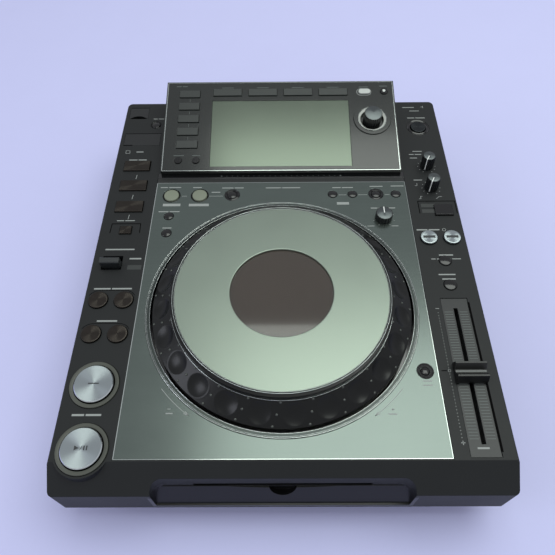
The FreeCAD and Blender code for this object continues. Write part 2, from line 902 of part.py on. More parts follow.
def jog_ring():
    """Turning rim: hub, web and a sloping rim with a ring of round finger dimples."""
    ledge = platter_levels()[3]
    hub_inner = display_column_radius + bearing_clearance
    hub_outer = hub_inner + hub_wall
    floor = deck_height - dish_floor_depth + bearing_clearance
    crown_z = deck_height + ring_crown_height
    edge_z = deck_height + ring_edge_height
    slope = math.atan2(crown_z - edge_z, ring_radius - ring_crown_radius)
    body = turned(0, jog_y, [
        (hub_inner, floor),
        (hub_outer, floor),
        (hub_outer, ledge - ring_web),
        (ring_crown_radius - ring_shell, ledge - ring_web),
        (ring_crown_radius - ring_shell, deck_height - ring_skirt),
        (ring_radius, deck_height - ring_skirt),
        (ring_radius, edge_z),
        (ring_crown_radius, crown_z),
        (ring_crown_radius, ledge),
        (hub_inner, ledge),
    ])
    middle_r = (ring_radius + ring_crown_radius) / 2
    middle_z = (crown_z + edge_z) / 2
    recess = rod(0, 0, dimple_radius, -dimple_depth, dimple_depth)
    recess.rotate(V(0, 0, 0), V(0, 1, 0), math.degrees(slope))
    recess.translate(V(middle_r, 0, middle_z))
    dimples = []
    for index in range(dimple_count):
        dimple = recess.copy()
        dimple.rotate(V(0, 0, 0), V(0, 0, 1), dimple_phase + index * 360 / dimple_count)
        dimple.translate(V(0, jog_y, 0))
        dimples.append(dimple)
    return body.cut(dimples)


def jog_silver():
    top, glass_bottom, silver_bottom, ledge = platter_levels()
    return turned(0, jog_y, [
        (window_radius, silver_bottom),
        (silver_radius, silver_bottom),
        (silver_radius, glass_bottom),
        (window_radius, glass_bottom),
    ])


def jog_platter():
    """Clear top disc that carries the silver plate under it."""
    top, glass_bottom, silver_bottom, ledge = platter_levels()
    return rod(0, jog_y, platter_radius, glass_bottom, top)


def slot_bezel():
    """Moulded bay: walls and floor, a sloping panel that is bowed along its top and has a
    finger notch, and the lower edge and the ends of the disc slot."""
    shell = bay_block(inner_front_y).cut(bay_room(bay_floor, slot_top + past))
    profile = [
        (front_y + bezel_foot, bay_floor),
        (bay_y - bezel_top, slot_bottom),
        (bay_y, slot_bottom),
        (bay_y, bay_floor),
    ]
    panel = side_profile(profile, -bay_width / 2, bay_width / 2)
    panel = panel.common(bay_room(bay_floor, slot_bottom))
    bow_radius = ((slot_bow_width / 2) ** 2 + slot_bow ** 2) / (2 * slot_bow)
    bow = rod_along((0, front_y, slot_bottom - slot_bow + bow_radius), (0, 1, 0),
                    bow_radius, bay_depth)
    lean = math.atan2(bay_depth - bezel_top - bezel_foot, slot_bottom - bay_floor)
    outward = (0, -math.cos(lean), math.sin(lean))
    notch_start = (0, bay_y + bay_depth * math.cos(lean),
                   slot_bottom - bay_depth * math.sin(lean))
    notch = rod_along(notch_start, outward, notch_radius, 3 * bay_depth)
    slot = box(-slot_width / 2, slot_width / 2, bay_y - past, inner_front_y + past,
               slot_bottom, slot_top)
    return fuse([shell, panel.cut([bow, notch])]).cut(slot)


def disc_drive():
    """Slot-in drive: a sheet case, open at its rear below the floor that the disc slides on."""
    half = drive_width / 2
    rear = drive_front_y + drive_length
    case = box(-half, half, drive_front_y, rear, drive_bottom, drive_top)
    inner_half = half - drive_sheet
    inner_front = drive_front_y + drive_sheet
    disc_room = box(-inner_half, inner_half, inner_front, rear - drive_sheet,
                    slot_bottom, drive_top - drive_sheet)
    gear_room = box(-inner_half, inner_half, inner_front, rear + past,
                    drive_bottom + drive_sheet, slot_bottom - disc_guide)
    mouth = box(-slot_width / 2, slot_width / 2, drive_front_y - past, inner_front,
                slot_bottom, slot_top)
    return case.cut([disc_room, gear_room, mouth])


def cap_with_flange(x, y, radius, height, wall):
    """Round button: a cap over a square flange that stays under a wall this thick."""
    flange_top = deck_height - wall - flange_play
    low = flange_top - flange_thickness
    cap = rod(x, y, radius, low, deck_height + height)
    side = 2 * (radius + flange_overhang)
    return fuse([cap, centred_box(x, y, side, side, low, flange_top)])


def key_with_flange(x, y, width, length, height):
    """Square key with a bevelled top edge over a wider flange."""
    flange_top = deck_height - deck_wall - flange_play
    z0 = flange_top - flange_thickness
    top = deck_height + height
    lower = centred_box(x, y, width, length, z0, top - key_bevel)
    corners = []
    for inset, z in ((0, top - key_bevel), (key_bevel, top)):
        half_x = width / 2 - inset
        half_y = length / 2 - inset
        points = [V(x - half_x, y - half_y, z), V(x + half_x, y - half_y, z),
                  V(x + half_x, y + half_y, z), V(x - half_x, y + half_y, z)]
        corners.append(Part.makePolygon(points + points[:1]))
    bevel = Part.makeLoft(corners, True, True)
    flange = centred_box(x, y, width + 2 * flange_overhang, length + 2 * flange_overhang,
                         z0, flange_top)
    return fuse([lower, bevel, flange])


def main_button(from_fold):
    """Large button: a metal cap that stands out of a clear ring."""
    y = fold_y + from_fold
    low = deck_height - deck_wall - flange_thickness
    return turned(-rail_x, y, [
        (0, low),
        (main_button_radius, low),
        (main_button_radius, deck_height + main_ring_height),
        (main_cap_radius, deck_height + main_ring_height),
        (main_cap_radius, deck_height + main_cap_height),
        (0, deck_height + main_cap_height),
    ])


def ribbed_prism(radius, groove, ribs, z0, z1):
    """Knob grip: a prism with pointed ribs all round."""
    points = []
    for index in range(2 * ribs):
        angle = index * math.pi / ribs
        reach = radius - (groove if index % 2 else 0)
        points.append(V(reach * math.cos(angle), reach * math.sin(angle), z0))
    face = Part.Face(Part.makePolygon(points + points[:1]))
    return face.extrude(V(0, 0, z1 - z0))


def deck_knob(x, y, radius, height, turn):
    """Ribbed knob with a pointer groove over its top, on a shaft through the deck."""
    grip = ribbed_prism(radius, knob_rib_depth, knob_ribs, knob_lift, height)
    groove = box(-pointer_width / 2, pointer_width / 2, -radius, 0,
                 height - pointer_depth, height + past)
    shaft = rod(0, 0, knob_shaft_radius, -deck_wall - knob_shaft_reach, knob_lift)
    knob = fuse([grip.cut(groove), shaft])
    knob.rotate(V(0, 0, 0), V(0, 0, 1), turn)
    return knob.translated(V(x, y, deck_height))


def rotary_knobs():
    touch, release, adjust = knob_places()
    return {
        "touch_knob": deck_knob(*touch, knob_radius, knob_height, rail_knob_turn),
        "release_knob": deck_knob(*release, knob_radius, knob_height, rail_knob_turn),
        "jog_adjust_knob": deck_knob(*adjust, jog_adjust_radius, jog_adjust_height,
                                     half_turn),
    }


def selector_knob():
    """Tall ribbed knob in the sunk boss of the display unit."""
    base = selector_boss_height - selector_well_depth + knob_lift
    grip = ribbed_prism(selector_knob_radius, knob_rib_depth, selector_ribs,
                        base, selector_knob_height)
    shaft = rod(0, 0, knob_shaft_radius, base - knob_shaft_reach, base)
    knob = fuse([grip, shaft])
    return on_display(knob.translated(V(selector_x, selector_slope, 0)))


def display_key(places, low):
    """One or more keys on a web that stays under the glossy panel."""
    web = spread_boxes([key_web(places)], 0, low, display_flange_top)
    return on_display(fuse(web + spread_boxes(places, 0, low, display_key_height)))


def display_controls():
    low = display_flange_top - flange_thickness
    parts = {
        "media_keys": display_key(media_key_places(), low),
        "browse_keys": display_key(browse_key_places(), low),
    }
    x, y, width, length = back_button_place()
    cap = rounded_box(x, y, width, length, back_button_corner, low, display_key_height)
    flange = spread_boxes([(x, y, width, length)], flange_overhang, low, display_flange_top)
    parts["back_button"] = on_display(fuse([cap] + flange))
    for name, x, y, radius in display_round_buttons():
        cap = rod(x, y, radius, low, display_key_height)
        flange = spread_boxes([(x, y, 2 * radius, 2 * radius)], flange_overhang,
                              low, display_flange_top)
        parts[name] = on_display(fuse([cap] + flange))
    return parts


def tempo_fader():
    """Slotted face plate over the fader's channel."""
    top = deck_height - fader_plate_inset
    low = top - fader_plate_thickness
    plate = centred_box(fader_x, fader_y, fader_plate_width, fader_plate_length, low, top)
    body_length = fader_slot_length + 2 * fader_body_margin
    body = centred_box(fader_x, fader_y, fader_body_width, body_length,
                       low - fader_body_depth, low)
    slot = centred_box(fader_x, fader_y, fader_slot_width, fader_slot_length,
                       low - fader_body_depth + fader_body_floor, top + past)
    return fuse([plate, body]).cut(slot)


def tempo_knob():
    """Fader cap with a valley between two ridges, on a blade that runs in the slot."""
    y = fader_y + fader_rest
    low = deck_height + fader_cap_lift
    top = deck_height + fader_cap_height
    valley = deck_height + fader_cap_valley
    half = fader_cap_length / 2
    ridge = half - fader_cap_slope
    half_profile = [
        (half, low),
        (half, low + fader_cap_side),
        (ridge, top),
        (ridge - fader_cap_ridge, top),
        (fader_cap_floor / 2, valley),
    ]
    profile = [(y + dy, z) for dy, z in half_profile]
    profile += [(y - dy, z) for dy, z in reversed(half_profile)]
    cap = side_profile(profile, fader_x - fader_cap_width / 2, fader_x + fader_cap_width / 2)
    blade_low = deck_height - fader_body_depth + fader_body_floor + fader_blade_floor
    blade = centred_box(fader_x, y, fader_slot_width - 2 * button_play, fader_blade_length,
                        blade_low, low)
    return fuse([cap, blade])


def direction_lever():
    """Rocking bar on a pin under the rail, leaning forward at rest."""
    pivot = V(lever_x, lever_y, deck_height - lever_pivot_depth)
    half = lever_thickness / 2
    top = deck_height + lever_height
    profile = [
        (lever_y - half, pivot.z),
        (lever_y - half, top - lever_bevel),
        (lever_y - half + lever_bevel, top),
        (lever_y + half - lever_bevel, top),
        (lever_y + half, top - lever_bevel),
        (lever_y + half, pivot.z),
    ]
    arm = side_profile(profile, lever_x - lever_width / 2, lever_x + lever_width / 2)
    heel = rod_along((lever_x - lever_width / 2, lever_y, pivot.z), (1, 0, 0), half, lever_width)
    pin_half = lever_slot_width / 2 + cheek_thickness
    pin = rod_along((lever_x - pin_half, lever_y, pivot.z), (1, 0, 0),
                    lever_pin_radius, 2 * pin_half)
    lever = fuse([arm, heel, pin])
    lever.rotate(pivot, V(1, 0, 0), lever_lean)
    return lever


def hinged_cover(x, y, size):
    """Flush lid whose rear edge is round, so that it turns in its rebate."""
    width, length = size
    half = lid_thickness / 2
    z = deck_height - half
    rear = y + length / 2 - lid_play
    front = y - length / 2 + lid_play
    wide = width - 2 * lid_play
    flat = box(x - wide / 2, x + wide / 2, front, rear - half, z - half, z + half)
    knuckle = rod_along((x - wide / 2, rear - half, z), (1, 0, 0), half, wide)
    return fuse([flat, knuckle])


def usb_lid():
    lid = hinged_cover(usb_x, usb_y, usb_size)
    front = usb_y - usb_size[1] / 2
    scoop = rod(usb_x, front + usb_scoop_depth - usb_scoop_radius, usb_scoop_radius,
                deck_height - lid_thickness - past, deck_height + past)
    return lid.cut(scoop)


def sd_door():
    """Door of the card well, with a nail notch in its front left corner."""
    door = hinged_cover(-rail_x, card_y, card_size)
    x = -rail_x - card_size[0] / 2
    y = card_y - card_size[1] / 2
    width, depth = card_notch
    notch = box(x, x + width, y, y + depth, deck_height - lid_thickness, deck_height + past)
    return door.cut(notch)


def pan_outline(inset, front_extra, z):
    """Plan of the pan at one level, with its corners cut off at 45 degrees."""
    x1 = case_width / 2 - inset
    y0 = front_y + inset + front_extra
    y1 = rear_y - inset
    cut = pan_corner_cut
    points = [(-x1 + cut, y0), (x1 - cut, y0), (x1, y0 + cut), (x1, y1 - cut),
              (x1 - cut, y1), (-x1 + cut, y1), (-x1, y1 - cut), (-x1, y0 + cut)]
    corners = [V(x, y, z) for x, y in points]
    return Part.makePolygon(corners + corners[:1])


def bottom_chassis():
    """Sheet steel pan that tapers to the feet, with a flange, posts and rear panel."""
    top = case_bottom - pan_sheet
    outer = Part.makeLoft([pan_outline(pan_bottom_inset, pan_front_slope, foot_height),
                           pan_outline(pan_top_inset, 0, top)], True, True)
    inner = Part.makeLoft([
        pan_outline(pan_bottom_inset + pan_sheet, pan_front_slope, pan_floor),
        pan_outline(pan_top_inset + pan_sheet, 0, top + pan_sheet),
    ], True, True)
    flange_plan = outline(-case_width / 2 + pan_flange_inset, case_width / 2 - pan_flange_inset,
                          front_y + pan_flange_inset, rear_y - pan_flange_inset,
                          front_corner_radius, rear_corner_radius, top)
    flange = Part.Face(flange_plan).extrude(V(0, 0, pan_sheet))
    panel = box(window_left - panel_margin, window_right + panel_margin,
                rear_plate_y, inner_rear_y, case_bottom - pan_sheet, window_high + panel_margin)
    posts = []
    for x in (-drive_width / 2 + post_inset, drive_width / 2 - post_inset):
        for y in (drive_front_y + front_post_inset, drive_front_y + drive_length - post_inset):
            posts.append(centred_box(x, y, post_width, post_width, pan_floor, drive_bottom))
    for x in (board_left + post_inset, board_right - post_inset):
        posts.append(centred_box(x, rear_plate_y - board_depth / 2, post_width, post_width,
                                 pan_floor, board_height))
    pan = fuse([outer, flange]).cut(inner)
    return fuse([pan, panel] + posts).cut(rear_panel_holes()).removeSplitter()


def rear_panel_holes():
    """Cut-outs of the rear panel round its sockets and the power button."""
    y0 = rear_plate_y - past
    depth = pan_sheet + 2 * past
    cuts = []
    for x in phono_x:
        cuts.append(rod_along((x, y0, row_z), (0, 1, 0), phono_barrel_radius + rear_play, depth))
    cuts.append(rod_along((control_jack_x, y0, row_z), (0, 1, 0),
                          control_jack_radius + rear_play, depth))

    def window(x, width, height, low):
        cuts.append(box(x - width / 2 - rear_play, x + width / 2 + rear_play, y0, y0 + depth,
                        low - rear_play, low + height + rear_play))

    window(usb_b_x, usb_b_outer, usb_b_outer, board_top)
    window(link_x, *link_outer, board_top)
    window(inlet_x, inlet_body[0], inlet_body[1], row_z - inlet_body[1] / 2)
    window(power_x, *power_size, row_z - power_size[1] / 2)
    return cuts


def connector_board():
    """Circuit board with the phono, control, USB and network sockets along its rear."""
    pieces = [box(board_left, board_right, rear_plate_y - board_depth, rear_plate_y - board_gap,
                  board_height, board_top)]
    for x in phono_x:
        pieces.append(box(x - phono_body / 2, x + phono_body / 2, rear_plate_y - phono_body,
                          rear_plate_y, board_top, row_z + phono_body / 2))
        pieces.append(rod_along((x, rear_plate_y - board_gap, row_z), (0, 1, 0),
                                phono_barrel_radius, rear_y + jack_reach - rear_plate_y + board_gap))
    half = control_jack_body / 2
    pieces.append(box(control_jack_x - half, control_jack_x + half, rear_plate_y - phono_body,
                      rear_plate_y, board_top, row_z + half))
    pieces.append(rod_along((control_jack_x, rear_plate_y - board_gap, row_z), (0, 1, 0),
                            control_jack_radius, rear_y - rear_plate_y + board_gap))
    rear = inner_rear_y + socket_reach
    for x, (width, height) in ((usb_b_x, (usb_b_outer, usb_b_outer)), (link_x, link_outer)):
        pieces.append(box(x - width / 2, x + width / 2, rear - socket_depth, rear,
                          board_top, board_top + height))
    body = fuse(pieces)
    mouths = []
    for x, outer_height, mouth in ((usb_b_x, usb_b_outer, usb_b_mouth),
                                   (link_x, link_outer[1], link_mouth)):
        middle = board_top + outer_height / 2
        mouths.append(box(x - mouth[0] / 2, x + mouth[0] / 2, rear - mouth_depth,
                          rear + past, middle - mouth[1] / 2, middle + mouth[1] / 2))
    tongue_z = board_top + usb_b_outer / 2
    width, height = usb_b_tongue
    tongue = box(usb_b_x - width / 2, usb_b_x + width / 2, rear - mouth_depth,
                 rear - usb_b_tongue_inset, tongue_z - height / 2, tongue_z + height / 2)
    return fuse([body.cut(mouths), tongue])


def ac_inlet():
    """Mains inlet: flange on the rear panel, sunk mouth and three flat pins."""
    z = row_z
    width, height, depth = inlet_body
    flange_width, flange_height, flange_depth = inlet_flange
    body = box(inlet_x - width / 2, inlet_x + width / 2, inner_rear_y - depth, inner_rear_y,
               z - height / 2, z + height / 2)
    flange = box(inlet_x - flange_width / 2, inlet_x + flange_width / 2, inner_rear_y,
                 inner_rear_y + flange_depth, z - flange_height / 2, z + flange_height / 2)
    mouth_width, mouth_height, mouth_length = inlet_mouth
    rear = inner_rear_y + flange_depth
    mouth = box(inlet_x - mouth_width / 2, inlet_x + mouth_width / 2, rear - mouth_length,
                rear + past, z - mouth_height / 2, z + mouth_height / 2)
    shell = fuse([body, flange]).cut(mouth)
    pin_width, pin_height, pin_length = inlet_pin
    pins = []
    for dx, dz in ((-inlet_pin_pitch / 2, -inlet_pin_drop), (0, inlet_earth_rise),
                   (inlet_pin_pitch / 2, -inlet_pin_drop)):
        pins.append(box(inlet_x + dx - pin_width / 2, inlet_x + dx + pin_width / 2,
                        rear - mouth_length, rear - mouth_length + pin_length,
                        z + dz - pin_height / 2, z + dz + pin_height / 2))
    return fuse([shell] + pins)


def power_button():
    """Push button that passes through the rear panel."""
    width, height = power_size
    rear = rear_y + power_reach
    cap = box(power_x - width / 2, power_x + width / 2, rear - power_length, rear,
              row_z - height / 2, row_z + height / 2)
    edges = long_edges(cap, lambda e: e.CenterOfMass.y > rear - power_bevel)
    return cap.makeChamfer(power_bevel, edges)


def rubber_feet():
    feet = []
    for x in (-case_width / 2 + foot_inset, case_width / 2 - foot_inset):
        for y in (front_y + pan_front_slope + foot_inset, rear_y - foot_inset):
            feet.append(rod(x, y, foot_radius, 0, foot_height))
    return Part.makeCompound(feet)


def build():
    parts = {
        "bottom_chassis": bottom_chassis(),
        "top_cover": top_cover(),
        "deck_plate": deck_plate(),
        "needle_strip": needle_strip(),
        "display_housing": display_housing(),
        "display_panel": display_panel(),
        "lcd_screen": lcd_screen(),
        "jog_dish": jog_dish(),
        "jog_ring": jog_ring(),
        "jog_silver": jog_silver(),
        "jog_platter": jog_platter(),
        "slot_bezel": slot_bezel(),
        "well_insert": well_insert(),
        "disc_drive": disc_drive(),
        "tempo_fader": tempo_fader(),
        "tempo_knob": tempo_knob(),
        "direction_lever": direction_lever(),
        "cue_button": main_button(cue_from_fold),
        "play_button": main_button(play_from_fold),
        "usb_lid": usb_lid(),
        "sd_door": sd_door(),
        "selector_knob": selector_knob(),
        "connector_board": connector_board(),
        "ac_inlet": ac_inlet(),
        "power_button": power_button(),
        "rubber_feet": rubber_feet(),
    }
    parts.update(rotary_knobs())
    parts.update(display_controls())
    for name, x, y, radius, height, surround in rail_round_buttons():
        parts[name] = cap_with_flange(x, y, radius, height, deck_wall)
    for name, x, y, radius, height, surround in plate_round_buttons():
        parts[name] = cap_with_flange(x, y, radius, height, plate_thickness)
    for name, (side, end, offset, distance, width, length, height) in rail_keys.items():
        x, y = rail_place(side, end, offset, distance)
        parts[name] = key_with_flange(x, y, width, length, height)
    return parts


os.makedirs("parts", exist_ok=True)
for name, shape in build().items():
    shape.exportStep(f"parts/{name}.step")
    print(name, len(shape.Solids), round(shape.Volume, 1))
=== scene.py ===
import math
import bpy
from mathutils import Matrix, Vector


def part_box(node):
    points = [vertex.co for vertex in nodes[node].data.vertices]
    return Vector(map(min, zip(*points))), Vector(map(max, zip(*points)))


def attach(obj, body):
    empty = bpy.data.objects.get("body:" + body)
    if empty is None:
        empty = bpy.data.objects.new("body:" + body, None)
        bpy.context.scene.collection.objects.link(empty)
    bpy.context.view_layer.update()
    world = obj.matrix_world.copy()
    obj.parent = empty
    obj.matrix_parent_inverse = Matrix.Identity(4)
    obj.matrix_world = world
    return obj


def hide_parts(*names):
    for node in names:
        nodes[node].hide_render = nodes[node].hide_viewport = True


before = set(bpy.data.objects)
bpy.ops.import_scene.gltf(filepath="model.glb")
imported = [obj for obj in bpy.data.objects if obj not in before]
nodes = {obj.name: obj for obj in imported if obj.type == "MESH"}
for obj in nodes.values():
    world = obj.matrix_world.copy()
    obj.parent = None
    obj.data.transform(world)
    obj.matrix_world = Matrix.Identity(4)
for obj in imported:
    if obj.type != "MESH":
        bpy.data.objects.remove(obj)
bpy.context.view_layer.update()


# Table top. A painted board, pale lilac and plain, that the player stands on. The first
# tools are here: a colour from its hex code, a node, a finish and a mesh piece.
MM = 0.001


def linear(code):
    """Linear RGBA of an sRGB hex colour."""
    parts = [int(code[i:i + 2], 16) / 255 for i in (1, 3, 5)]
    flat = [c / 12.92 if c <= 0.04045 else ((c + 0.055) / 1.055) ** 2.4 for c in parts]
    return (*flat, 1.0)


def add_node(tree, kind, links=None, **settings):
    """One node with its settings and with its inputs set or linked."""
    node = tree.nodes.new(kind)
    for name, value in settings.items():
        setattr(node, name, value)
    for name, value in (links or {}).items():
        if isinstance(value, bpy.types.NodeSocket):
            tree.links.new(value, node.inputs[name])
        else:
            node.inputs[name].default_value = value
    return node


def finish(name, tone, roughness, metallic=0.0, grain=0.8, depth=0.02, tint=0.06,
           spread=0.08, stretch=(1, 1, 1), edge=0.4, edge_wear_and_highlight=0.25, **shader):
    """A surface's finish. Its colour drifts a little over about 45 mm, its grain
    (mm) shows in colour, roughness and a bump this deep (mm), and its edges are rounded
    by `edge` mm and painted paler, partly as rubbed wear and partly as a painted
    highlight where the rounded edges catch light."""
    material = bpy.data.materials.new(name)
    material.use_nodes = True
    tree = material.node_tree
    tree.nodes.clear()
    place = add_node(tree, "ShaderNodeTexCoord")
    scaled = add_node(tree, "ShaderNodeMapping", {"Vector": place.outputs["Object"],
                                                  "Scale": stretch})
    fine = add_node(tree, "ShaderNodeTexNoise", {"Vector": scaled.outputs["Vector"],
                                                 "Scale": 1 / (grain * MM), "Detail": 2.0})
    wide = add_node(tree, "ShaderNodeTexNoise", {"Vector": place.outputs["Object"],
                                                 "Scale": 22.0, "Detail": 3.0})
    both = add_node(tree, "ShaderNodeMath", {0: fine.outputs["Fac"], 1: wide.outputs["Fac"]},
                    operation="ADD")
    drift = add_node(tree, "ShaderNodeMapRange", {"Value": both.outputs["Value"],
                     "From Min": 0.6, "From Max": 1.4, "To Min": 1 - tint, "To Max": 1 + tint})
    flat = add_node(tree, "ShaderNodeNewGeometry")
    rounded = add_node(tree, "ShaderNodeBevel", {"Radius": edge * MM}, samples=4)
    across = add_node(tree, "ShaderNodeVectorMath", {0: rounded.outputs["Normal"],
                      1: flat.outputs["Normal"]}, operation="DOT_PRODUCT")
    # Edge colour lift: partly rubbed wear, partly a painted highlight where the rounded edges
    # catch light.
    painted_edge_highlight_and_wear = add_node(tree, "ShaderNodeMapRange", {"Value": across.outputs["Value"],
                      "From Min": 0.98, "From Max": 0.80, "To Min": 0.0, "To Max": edge_wear_and_highlight})
    lift = add_node(tree, "ShaderNodeMath", {0: drift.outputs["Result"],
                    1: painted_edge_highlight_and_wear.outputs["Result"]}, operation="ADD")
    colour = add_node(tree, "ShaderNodeVectorMath", {0: linear(tone)[:3],
                      "Scale": lift.outputs["Value"]}, operation="SCALE")
    gloss = add_node(tree, "ShaderNodeMapRange", {"Value": both.outputs["Value"],
                     "From Min": 0.6, "From Max": 1.4, "To Min": roughness * (1 - spread),
                     "To Max": roughness * (1 + spread)})
    bump = add_node(tree, "ShaderNodeBump", {"Height": fine.outputs["Fac"],
                    "Normal": rounded.outputs["Normal"], "Strength": 1.0,
                    "Distance": depth * MM})
    body = add_node(tree, "ShaderNodeBsdfPrincipled", {"Base Color": colour.outputs[0],
                    "Roughness": gloss.outputs["Result"], "Metallic": metallic,
                    "Normal": bump.outputs["Normal"], **shader})
    add_node(tree, "ShaderNodeOutputMaterial", {"Surface": body.outputs[0]})
    return material


def piece(name, vertices, faces, material, body, smooth=False):
    """A mesh piece from points in metres, which rides on a body."""
    mesh = bpy.data.meshes.new(name)
    mesh.from_pydata([tuple(v) for v in vertices], [], faces)
    if smooth:
        mesh.shade_smooth()
        mesh.set_sharp_from_angle(angle=math.radians(38))
    mesh.materials.append(material)
    item = bpy.data.objects.new(name, mesh)
    bpy.context.scene.collection.objects.link(item)
    if body:
        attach(item, body)
    return item


# Emulsion paint on board: a plain, even, shadow-catching ground.
board_paint = finish("painted_board", "#c7c8ee", 0.7, grain=3.0, depth=0.01, tint=0.01,
                     **{"Specular IOR Level": 0.1})
table = piece("table_top", [(-4, -3, 0), (4, -3, 0), (4, 5, 0), (-4, 5, 0)],
              [(0, 1, 2, 3)], board_paint, None)


# Light and camera. One wide soft box hangs over the right half, so that the brushed deck
# mirrors it at the front and right and stays dark at the rear and left; the room is even.
world = bpy.data.worlds.new("studio")
bpy.context.scene.world = world
bpy.context.scene.view_settings.view_transform = "Standard"
world.use_nodes = True
world.node_tree.nodes["Background"].inputs["Color"].default_value = linear("#bfc1c6")
world.node_tree.nodes["Background"].inputs["Strength"].default_value = 1.0


def soft_box(name, place, aim, size, watts, tone):
    light = bpy.data.lights.new(name, "AREA")
    light.shape = "RECTANGLE"
    light.size, light.size_y = size
    light.energy = watts
    light.color = linear(tone)[:3]
    lamp = bpy.data.objects.new(name, light)
    lamp.location = place
    lamp.rotation_euler = (Vector(aim) - Vector(place)).to_track_quat("-Z", "Y").to_euler()
    bpy.context.scene.collection.objects.link(lamp)


soft_box("ceiling_box", (0.50, 0.20, 1.60), (0.50, 0.20, 0.0), (1.5, 1.12), 18, "#f2faf2")
soft_box("side_box", (-1.5, -0.5, 0.9), (0, 0, 0.05), (0.7, 0.9), 6, "#eef2ff")

lens = bpy.data.cameras.new("camera")
lens.lens = 36 * 556.94 / 555
camera = bpy.data.objects.new("camera", lens)
bpy.context.scene.collection.objects.link(camera)
pitch, yaw, roll = (math.radians(angle) for angle in (55.70, 0.55, 0.77))
look = Matrix(((1, 0, 0), (0, -math.sin(pitch), -math.cos(pitch)),
               (0, math.cos(pitch), -math.sin(pitch))))
about_up = Matrix(((math.cos(yaw), math.sin(yaw), 0), (-math.sin(yaw), math.cos(yaw), 0),
                   (0, 0, 1)))
about_view = Matrix(((math.cos(roll), math.sin(roll), 0),
                     (-math.sin(roll), math.cos(roll), 0), (0, 0, 1)))
rows = about_view @ look @ about_up
facing = Matrix((rows[0], -rows[1], -rows[2])).transposed()
camera.matrix_world = Matrix.Translation((-0.00082, -0.29258, 0.45855)) @ facing.to_4x4()
bpy.context.scene.camera = camera


# Lower pan and feet. Folded sheet steel, painted satin black and baked, with posts for the
# drive and the board; four rubber feet are moulded and screwed under its corners.
def finish_as(names, material):
    """Gives CAD nodes a finish."""
    for name in names:
        mesh = nodes[name].data
        mesh.materials.clear()
        mesh.materials.append(material)


# Baked satin paint: a soft sheen, with edges painted a little brighter, partly as rubbed wear
# and partly as painted highlight. Moulded rubber: dull.
finish_as(["bottom_chassis"], finish("painted_steel", "#17181a", 0.42, grain=0.9,
                                     depth=0.02, edge_wear_and_highlight=0.6))
finish_as(["rubber_feet"], finish("moulded_rubber", "#1a1a1a", 0.85, grain=1.0, depth=0.04))
# Zinc plate: pale and bright, for the screws.
zinc = finish("zinc_plated_steel", "#b9bcbd", 0.3, metallic=1.0, grain=0.8, depth=0.004)


def turned(name, profile, material, body, place=Matrix.Identity(4), segments=48,
           closed=False):
    """A piece turned on a lathe, from (radius, height) points in mm from its middle
    outward, or round a ring's section. `place` carries its middle to the deck."""
    count = len(profile)
    vertices, faces = [], []
    for step in range(segments):
        a = 2 * math.pi * step / segments
        for radius, height in profile:
            vertices.append(place @ Vector((radius * MM * math.cos(a),
                                            radius * MM * math.sin(a), height * MM)))
    for step in range(segments):
        here, there = step * count, (step + 1) % segments * count
        for i in range(count if closed else count - 1):
            j = (i + 1) % count
            if profile[i][0] == 0 and profile[j][0] == 0:
                continue
            if profile[i][0] == 0:
                faces.append((here + i, here + j, there + j))
            elif profile[j][0] == 0:
                faces.append((here + i, here + j, there + i))
            else:
                faces.append((here + i, here + j, there + j, there + i))
    return piece(name, vertices, faces, material, body, True)


def at(x, y, z=0.0):
    """Place on the level world, in mm."""
    return Matrix.Translation((x * MM, y * MM, z * MM))


# Pan-head screws of plated steel hold the rear panel; each has a cross recess.
def facing_rear(x, y, z):
    return at(x, y, z) @ Matrix.Rotation(math.radians(-90), 4, "X")


rear_panel_y, rear_wall_y, socket_z = 187.9, 190.6, 51.0
screw_rows = [(-134, 62.0), (-80, 62.0), (76, 62.0), (-134, 40.0), (76, 40.0), (148, 64.5)]
for number, (x, z) in enumerate(screw_rows):
    screw_head = [(0, 0.9), (0.5, 0.9), (0.6, 1.5), (1.6, 1.3), (2.4, 0.7), (2.6, 0.0)]
    turned(f"panel_screw_{number}", screw_head, zinc, "case",
           facing_rear(x, rear_panel_y, z), 20)


# Rear sockets. Black nylon socket bodies with nickel-plated phono sleeves stand on the
# board inside; the mains inlet is a black snap-in moulding.
finish_as(["connector_board"], finish("moulded_socket_nylon", "#15171a", 0.45, grain=0.9,
                                      depth=0.015))
finish_as(["ac_inlet"], finish("moulded_nylon_black", "#121314", 0.5, grain=0.8, depth=0.02))
# Nickel plate: warm, bright metal. Nylon: plain satin, in each socket's own colour.
nickel = finish("nickel_plate", "#c8c5bd", 0.2, metallic=1.0, grain=0.7, depth=0.003)
insert_white = finish("moulded_nylon_pale", "#d9d9d4", 0.45, grain=0.8, depth=0.01)
insert_red = finish("moulded_nylon_red", "#a3201c", 0.45, grain=0.8, depth=0.01)
insert_black = finish("moulded_nylon_dark", "#1b1c1d", 0.45, grain=0.8, depth=0.01)
for x, insert, name in ((-112, insert_white, "left"), (-92, insert_red, "right"),
                        (-22, insert_black, "digital")):
    sleeve = [(2.9, 11.9), (4.3, 11.9), (4.3, 1.0), (6.2, 1.0), (6.2, 0.1), (2.9, 0.1)]
    socket = facing_rear(x, rear_wall_y, socket_z)
    turned(f"phono_sleeve_{name}", sleeve, nickel, "case", socket, 40,
           closed=True)
    ring = [(1.7, 12.0), (2.8, 12.0), (2.8, 0.2), (1.7, 0.2)]
    turned(f"phono_insert_{name}", ring, insert, "case", socket, 32,
           closed=True)
jack = [(1.8, 1.6), (4.2, 1.6), (4.2, 0.1), (1.8, 0.1)]
turned("control_jack_ring", jack, insert_black, "case",
       facing_rear(-50, rear_wall_y, socket_z), 32, closed=True)


# Disc drive. A case folded from zinc-coated steel sheet, on the pan's front posts.
finish_as(["disc_drive"], finish("zinc_coated_sheet", "#a7a9aa", 0.4, metallic=1.0,
                                 grain=2.5, depth=0.006))


